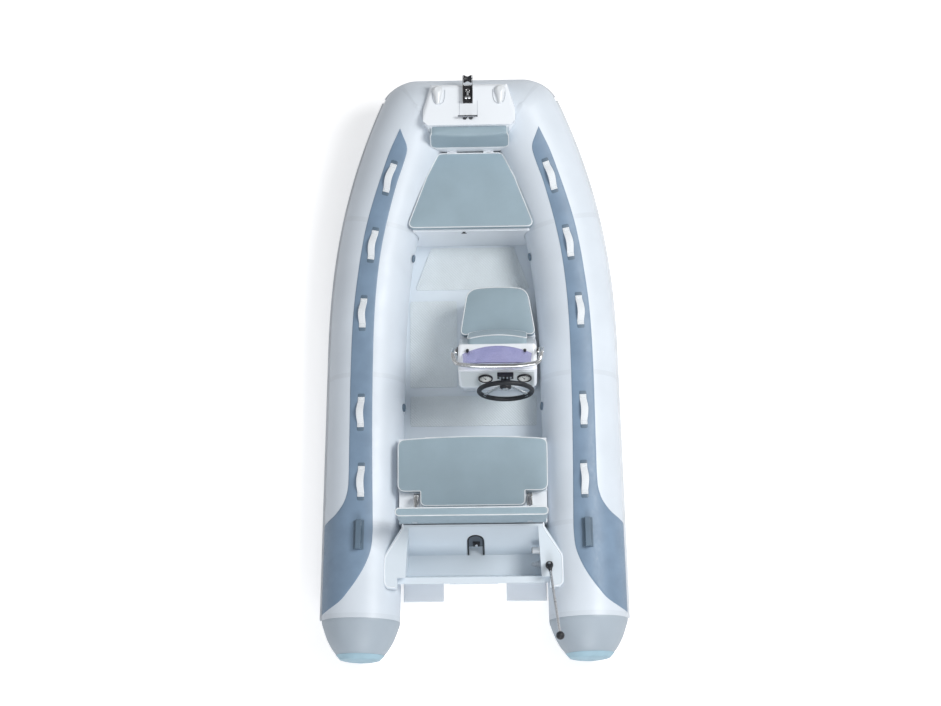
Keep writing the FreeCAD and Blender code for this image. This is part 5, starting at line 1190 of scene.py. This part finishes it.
WHEEL_CENTRE, WHEEL_AXIS = Vector((0.200, -0.200, 0.715)), Vector((0, -0.99692, 0.07846))
WHEEL_UP = Vector((0, 0.07846, 0.99692))
RIM_REACH, RIM_RADIUS, SEAM_REACH, SEAM_OUT = 0.151, 0.0138, 0.1395, 0.0086
SPOKE_ANGLES = (90, 210, 330)
SPOKE_LINE = ((0.026, -0.030, 0), (0.050, -0.0285, 0), (0.090, -0.018, 0), (0.125, -0.006, 0),
              (0.144, -0.001, 0))
SPOKE_SECTION = ((-1, -0.6), (-0.85, -1), (0.85, -1), (1, -0.6), (1, 0.6), (0.85, 1), (-0.85, 1), (-1, 0.6))
SPOKE_WIDE, SPOKE_WAIST, SPOKE_THICK = 0.0145, 0.0040, 0.0026
HUB_PROFILE = ((-0.044, 0.0060), (-0.044, 0.0300), (-0.041, 0.0335), (-0.022, 0.0335), (-0.016, 0.0310),
               (-0.0135, 0.0260), (-0.0125, 0.0060))
HUB_CAP = ((-0.0130, 0.0190), (-0.0105, 0.0190), (-0.0090, 0.0170), (-0.0082, 0.0100), (-0.0080, 0.001))


def on_wheel(turn, reach, out):
    """A point of the wheel: round it, away from its shaft and out towards the helmsman."""
    return WHEEL_CENTRE + turned(X, WHEEL_UP, turn) * reach + WHEEL_AXIS * out


def spoke_mesh(turn):
    """A flat pressed spoke, from the dished hub up to the rim."""
    side = X * -math.sin(turn) + WHEEL_UP * math.cos(turn)
    rings = []
    for index, (reach, out, _) in enumerate(smooth_line(SPOKE_LINE, 16)):
        wide = SPOKE_WIDE - SPOKE_WAIST * math.sin(math.pi * index / 15)
        rings.append([on_wheel(turn, reach, out) + side * wide * along + WHEEL_AXIS * SPOKE_THICK * up
                      for along, up in SPOKE_SECTION])
    return skin_mesh(rings)


def seam_mesh(angle):
    """A short sewn seam in the grip, centred on a spoke."""
    start = math.radians(angle - 7)
    return pipe_mesh([on_wheel(start + step * 0.02, SEAM_REACH, SEAM_OUT) for step in range(12)], 0.0008)


grip = rubber_finish("wheel grip", (0.005, 0.008, 0.013), 0.50)
aluminium = handled_finish("brushed aluminium", (0.62, 0.63, 0.65), 0.30, Metallic=1.0)
rim_line = [on_wheel(turn, RIM_REACH, 0.0) for turn in round_turns(120)]
show("wheel_rim", pipe_mesh(rim_line, RIM_RADIUS, True, 20), grip, "wheel",
     ("steering_wheel",), 60)
show("wheel_seams", joined([seam_mesh(angle) for angle in SPOKE_ANGLES]), pale_thread, "wheel")
spokes = [spoke_mesh(math.radians(angle)) for angle in SPOKE_ANGLES]
show("wheel_spokes", joined(spokes), aluminium, "wheel")
show("wheel_hub", lathe(HUB_PROFILE, WHEEL_CENTRE, WHEEL_AXIS, 48, True), black_plastic, "wheel")
show("wheel_cap", lathe(HUB_CAP, WHEEL_CENTRE, WHEEL_AXIS, 48), stainless, "wheel")

SCREEN_RISES = (0, 0.01, 0.1, 0.25, 0.4, 0.55, 0.7, 0.85, 0.99, 1)
SCREEN_FOOT, SCREEN_LEAN, SCREEN_BOW, SCREEN_FLATTEN, SCREEN_NARROW = 0.045, 0.125, 0.046, 0.042, 0.008
SCREEN_LOW, SCREEN_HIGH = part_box("windshield")
KNOB_PROFILE = ((-0.012, 0.006), (-0.004, 0.0085), (0.005, 0.0085), (0.008, 0.006))
KNOB_SPOTS = (Vector((-0.014, 0.016, 0.812)), Vector((0.3125, 0.013, 0.812)))
KNOB_WAY = Vector((0, 0.75, 0.66))
FLANGE_PROFILE = ((-0.001, 0.026), (0.004, 0.026), (0.006, 0.023))
FLANGE_PLACE, FLANGE_HEIGHT = 0.026, 0.758


def screen_rows(back):
    """The screen's grid: its foot bows forward, its straighter top leans aft."""
    middle, half = (SCREEN_LOW.x + SCREEN_HIGH.x) / 2, (SCREEN_HIGH.x - SCREEN_LOW.x) / 2
    rows = []
    for rise in SCREEN_RISES:
        lean, bow = SCREEN_FOOT - SCREEN_LEAN * rise - back, SCREEN_BOW - SCREEN_FLATTEN * rise
        rows.append([Vector((middle + (half - SCREEN_NARROW * rise) * across, lean - bow * across ** 2,
                             SCREEN_LOW.z + (SCREEN_HIGH.z - SCREEN_LOW.z) * rise))
                     for across in (step / 24 - 1 for step in range(49))])
    return rows


tinted = handled_finish("violet acrylic", (0.66, 0.645, 0.90), 0.05, Transmission_Weight=0.85, IOR=1.45)
show("windshield_screen", slab_mesh(screen_rows(0.005), screen_rows(0)), tinted, "root",
     ("windshield",), 50)
knobs = [lathe(KNOB_PROFILE, spot, KNOB_WAY, 24) for spot in KNOB_SPOTS]
show("screen_fasteners", joined(knobs), black_plastic)
flanges = []
for side in (-1, 1):
    spot = Vector((side_of("console", side).x, FLANGE_PLACE, FLANGE_HEIGHT))
    flanges.append(lathe(FLANGE_PROFILE, spot, X * side, 40))
show("rail_flanges", joined(flanges), black_plastic)

# Aft bench. A locker with a shaped cushion on its lid and a backrest that folds forward.

BENCH_BOW = 0.018
BENCH_LOW, BENCH_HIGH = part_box("aft_seat_cushion")
SKIRT_PLACE = -0.9145
HALF_SKIRT = ((0.412, 0.444), (0.424, 0.456), (0.424, 0.515))


def bench_bend(point, _):
    """The bench cushion's front edge bows forward in its middle."""
    along = (point.y - BENCH_LOW.y) / (BENCH_HIGH.y - BENCH_LOW.y)
    return point - Y * BENCH_BOW * (point.x / BENCH_HIGH.x) ** 2 * along ** 2


softened("aft_seat_box", 0.006, gelcoat)
softened("aft_seat_lid", LID_EDGE, gelcoat, "aft_lid")
stuffed("aft_seat_cushion", "aft_lid", 0.009, [Z], bench_bend, 12)
stuffed("aft_backrest", "backrest", 0.009, [-Z, Z], out=0.0, corded=1)
skirt = [Vector((-x, SKIRT_PLACE, z)) for x, z in HALF_SKIRT[::-1]]
skirt += [Vector((x, SKIRT_PLACE, z)) for x, z in HALF_SKIRT]
show("aft_backrest_skirt", pad_block(skirt, -Y, 0.006, 0.0024, True), vinyl, "backrest")
softened("backrest_brackets", 0.001, stainless, "root")
softened("backrest_arms", 0.002, stainless, "backrest")

# Stern fittings. The all-round light lies back over the quarter.
# A cable boot, a through fitting and an arched niche serve the motor well.

DECK_EDGE = ((0.407, -0.905), (0.410, -0.940), (0.458, -1.018), (0.503, -1.088), (0.5115, -1.120),
             (0.5115, -1.240), (0.493, -1.268), (0.450, -1.274))
DECK_EDGE_TOP = 0.3905
COLLAR_PROFILE = ((0.004, 0.0115), (0.008, 0.0135), (0.030, 0.0135), (0.033, 0.0110), (0.046, 0.0100),
                  (0.048, 0.0090))
COLLAR_SEAT = 0.012
MOUTH_PROFILE = ((-0.002, 0.0170), (0.0030, 0.0170), (0.0040, 0.0155))
BOOT_STEPS = ((0, 0.0240), (0.14, 0.0240), (0.17, 0.0165), (0.22, 0.0165), (0.25, 0.0215), (0.38, 0.0205),
              (0.41, 0.0130), (0.46, 0.0130), (0.49, 0.0175), (0.62, 0.0165), (0.65, 0.0095), (0.70, 0.0095),
              (0.73, 0.0135), (0.86, 0.0125), (0.89, 0.0075), (1, 0.0070))
WELL_TOP, WELL_FOOT = Vector((0.011, -0.927, 0.380)), Vector((0.011, -1.056, 0.160))
WELL_OUT, WELL_UP = Vector((0, -0.8627, 0.5057)), (WELL_TOP - WELL_FOOT).normalized()
ARCH_HALF, ARCH_SPRING, ARCH_FOOT = 0.044, 0.135, 0.004
LOCK_PLATE = ((-0.021, -0.015), (-0.018, -0.018), (0.018, -0.018), (0.021, -0.015), (0.021, 0.015),
              (0.018, 0.018), (-0.018, 0.018), (-0.021, 0.015))
LOCK_BODY = ((0.011, 0.013), (0.016, 0.013), (0.0175, 0.011))
LOCK_BARREL = ((0.016, 0.0085), (0.019, 0.0085), (0.0198, 0.007))
LOCK_ASIDE, LOCK_RISE = 0.004, 0.108


def on_bulkhead(aside, rise, out):
    """A point over the slanted bulkhead: athwart from the niche's middle, and up the slope from its foot."""
    return WELL_FOOT + X * aside + WELL_UP * rise + WELL_OUT * out


edge_lines = [smooth_line([(side * x, y, DECK_EDGE_TOP) for x, y in DECK_EDGE], 70) for side in (-1, 1)]
show("deck_edge_beads", joined([pipe_mesh(line, 0.0035, sides=12) for line in edge_lines]), gelcoat)
softened("stern_light_base", 0.002, black_plastic, "root")
softened("stern_light_pole", 0.001, aluminium, "light", 50)
softened("stern_light_lamp", 0.001, black_plastic, "light", 50)
light_foot = middle_of("stern_light_base")
light_foot.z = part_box("stern_light_pole")[0].z + COLLAR_SEAT
light_way = middle_of("stern_light_lamp") - light_foot
show("stern_light_collar", lathe(COLLAR_PROFILE, light_foot, light_way, 32), black_plastic, "light")
softened("through_fitting", 0.002, white_plastic)
mouth = lathe(MOUTH_PROFILE, side_of("through_fitting", -1), -X, 40)
show("fitting_mouth", mouth, black_plastic)
boot_end = side_of("cable_boot", 1)
reach = boot_end.x - side_of("cable_boot", -1).x
boot = lathe([(share * reach, radius) for share, radius in BOOT_STEPS], boot_end, -X, 40)
show("cable_boot_bellows", boot, grey_rubber, "root", ("cable_boot",), 24)

jamb = [ARCH_SPRING * share for share in (0.2, 0.4, 0.6, 0.8)]
crown = [math.pi * step / 16 for step in range(17)]
arch = [(-ARCH_HALF, rise) for rise in [ARCH_FOOT] + jamb]
arch += [(-ARCH_HALF * math.cos(turn), ARCH_SPRING + ARCH_HALF * math.sin(turn)) for turn in crown]
arch += [(ARCH_HALF, rise) for rise in jamb[::-1] + [ARCH_FOOT]]
slate = rubber_finish("slate panel", (0.085, 0.105, 0.130), 0.45)
arch_line = [on_bulkhead(aside, rise, 0.001) for aside, rise in arch]
show("niche_rim", pipe_mesh(arch_line, 0.0048, sides=12), black_plastic)
hood = [[on_bulkhead(aside, rise, out) for aside, rise in arch if rise > 0.07] for out in (-0.003, 0.0015)]
show("niche_hood", skin_mesh(hood), slate)
lock_rings = [[on_bulkhead(LOCK_ASIDE + dx * wide, LOCK_RISE + dy * wide, out) for dx, dy in LOCK_PLATE]
              for out, wide in ((0.001, 1), (0.010, 1), (0.012, 0.9))]
lock_seat = on_bulkhead(LOCK_ASIDE, LOCK_RISE, 0)
lock = [skin_mesh(lock_rings), lathe(LOCK_BODY, lock_seat, WELL_OUT, 32)]
show("niche_lock", joined(lock), black_plastic)
show("niche_lock_barrel", lathe(LOCK_BARREL, lock_seat, WELL_OUT, 32), stainless)

# Stage. The floor lies at the waterline and fades into a white studio.

FLOOR_REACH, FLOOR_GLOW = 60.0, 0.44


def stage_floor():
    mesh = bpy.data.meshes.new("floor")
    corners = [(FLOOR_REACH * x, FLOOR_REACH * y, 0) for x, y in ((-1, -1), (1, -1), (1, 1), (-1, 1))]
    mesh.from_pydata(corners, [], [(0, 1, 2, 3)])
    floor = bpy.data.objects.new("floor", mesh)
    scene.collection.objects.link(floor)
    material = new_finish("studio floor", (0.86, 0.86, 0.87), 0.9)
    shader = material.node_tree.nodes["Principled BSDF"]
    shader.inputs["Emission Color"].default_value = (1, 1, 1, 1)
    path = add_node(material, "ShaderNodeLightPath")
    glow = add_node(material, "ShaderNodeMath")
    glow.operation = "MULTIPLY"
    glow.inputs[1].default_value = FLOOR_GLOW
    wire(material, path, "Is Camera Ray", glow, 0)
    wire(material, glow, "Value", shader, "Emission Strength")
    mesh.materials.append(material)


stage_floor()

# Light and camera. A pale sky all round, one wide lamp high on the starboard side and a weak one to port.

SKY_LEVEL, SKY_COLOUR = 0.44, (0.97, 0.985, 1.0, 1)
CAMERA_REACH, CAMERA_RISE, CAMERA_ASIDE, CAMERA_ROLL = 12.0, 76.0, 0.30, -0.01402
CAMERA_AIM = Vector((0, 0, 0.3))
LENS = 77.33
PICTURE_WIDTH, AIM_COLUMN, AIM_ROW, MIDDLE_COLUMN, MIDDLE_ROW = 941, 472.39, 375.0, 470.5, 353.0


def sky():
    """A pale studio sky, with soft bands that only polished surfaces mirror."""
    world = bpy.data.worlds.new("studio")
    scene.world = world
    world.use_nodes = True
    background = world.node_tree.nodes["Background"]
    background.inputs["Color"].default_value = SKY_COLOUR
    path = add_node(world, "ShaderNodeLightPath")
    seen = add_node(world, "ShaderNodeMath")
    seen.operation = "MAXIMUM"
    strength = add_node(world, "ShaderNodeMapRange", To_Min=SKY_LEVEL, To_Max=1.0)
    bands = add_node(world, "ShaderNodeTexWave", Scale=1.7, Distortion=2.5)
    reflected = add_node(world, "ShaderNodeMapRange", To_Min=0.01, To_Max=1.05)
    choice = add_node(world, "ShaderNodeMix")
    places = add_node(world, "ShaderNodeTexCoord")
    for source, output, target, socket in (
            (path, "Is Camera Ray", seen, 0), (path, "Is Transmission Ray", seen, 1),
            (seen, "Value", strength, "Value"), (places, "Generated", bands, "Vector"),
            (bands, "Fac", reflected, "Value"), (path, "Is Glossy Ray", choice, "Factor"),
            (strength, "Result", choice, "A"), (reflected, "Result", choice, "B"),
            (choice, "Result", background, "Strength")):
        wire(world, source, output, target, socket)


def lamp(name, place, size, power, colour):
    data = bpy.data.lights.new(name, "AREA")
    data.shape = "DISK"
    data.size = size
    data.energy = power
    data.color = colour
    obj = bpy.data.objects.new(name, data)
    obj.location = place
    obj.rotation_euler = (-Vector(place)).to_track_quat("-Z", "Y").to_euler()
    scene.collection.objects.link(obj)


def camera():
    data = bpy.data.cameras.new("camera")
    data.lens = LENS
    data.shift_x = (MIDDLE_COLUMN - AIM_COLUMN) / PICTURE_WIDTH
    data.shift_y = (AIM_ROW - MIDDLE_ROW) / PICTURE_WIDTH
    obj = bpy.data.objects.new("camera", data)
    rise = math.radians(CAMERA_RISE)
    back = Vector((CAMERA_ASIDE, -math.cos(rise) * CAMERA_REACH, math.sin(rise) * CAMERA_REACH))
    ahead = -back.normalized()
    right = Vector((math.cos(CAMERA_ROLL), math.sin(CAMERA_ROLL), 0))
    right = (right - ahead * ahead.dot(right)).normalized()
    obj.location = CAMERA_AIM + back
    obj.rotation_euler = Matrix((right, right.cross(ahead), -ahead)).transposed().to_euler()
    scene.collection.objects.link(obj)
    scene.camera = obj


sky()
lamp("key", (4.9, 1.0, 7.2), 3.5, 440, (1.0, 0.99, 0.97))
lamp("fill", (-5.0, -3.0, 6.0), 4.0, 35, (0.95, 0.97, 1.0))
lamp("stern fill", (0.6, -7.5, 5.0), 4.0, 230, (0.97, 0.98, 1.0))
camera()
scene.view_settings.view_transform = "Standard"
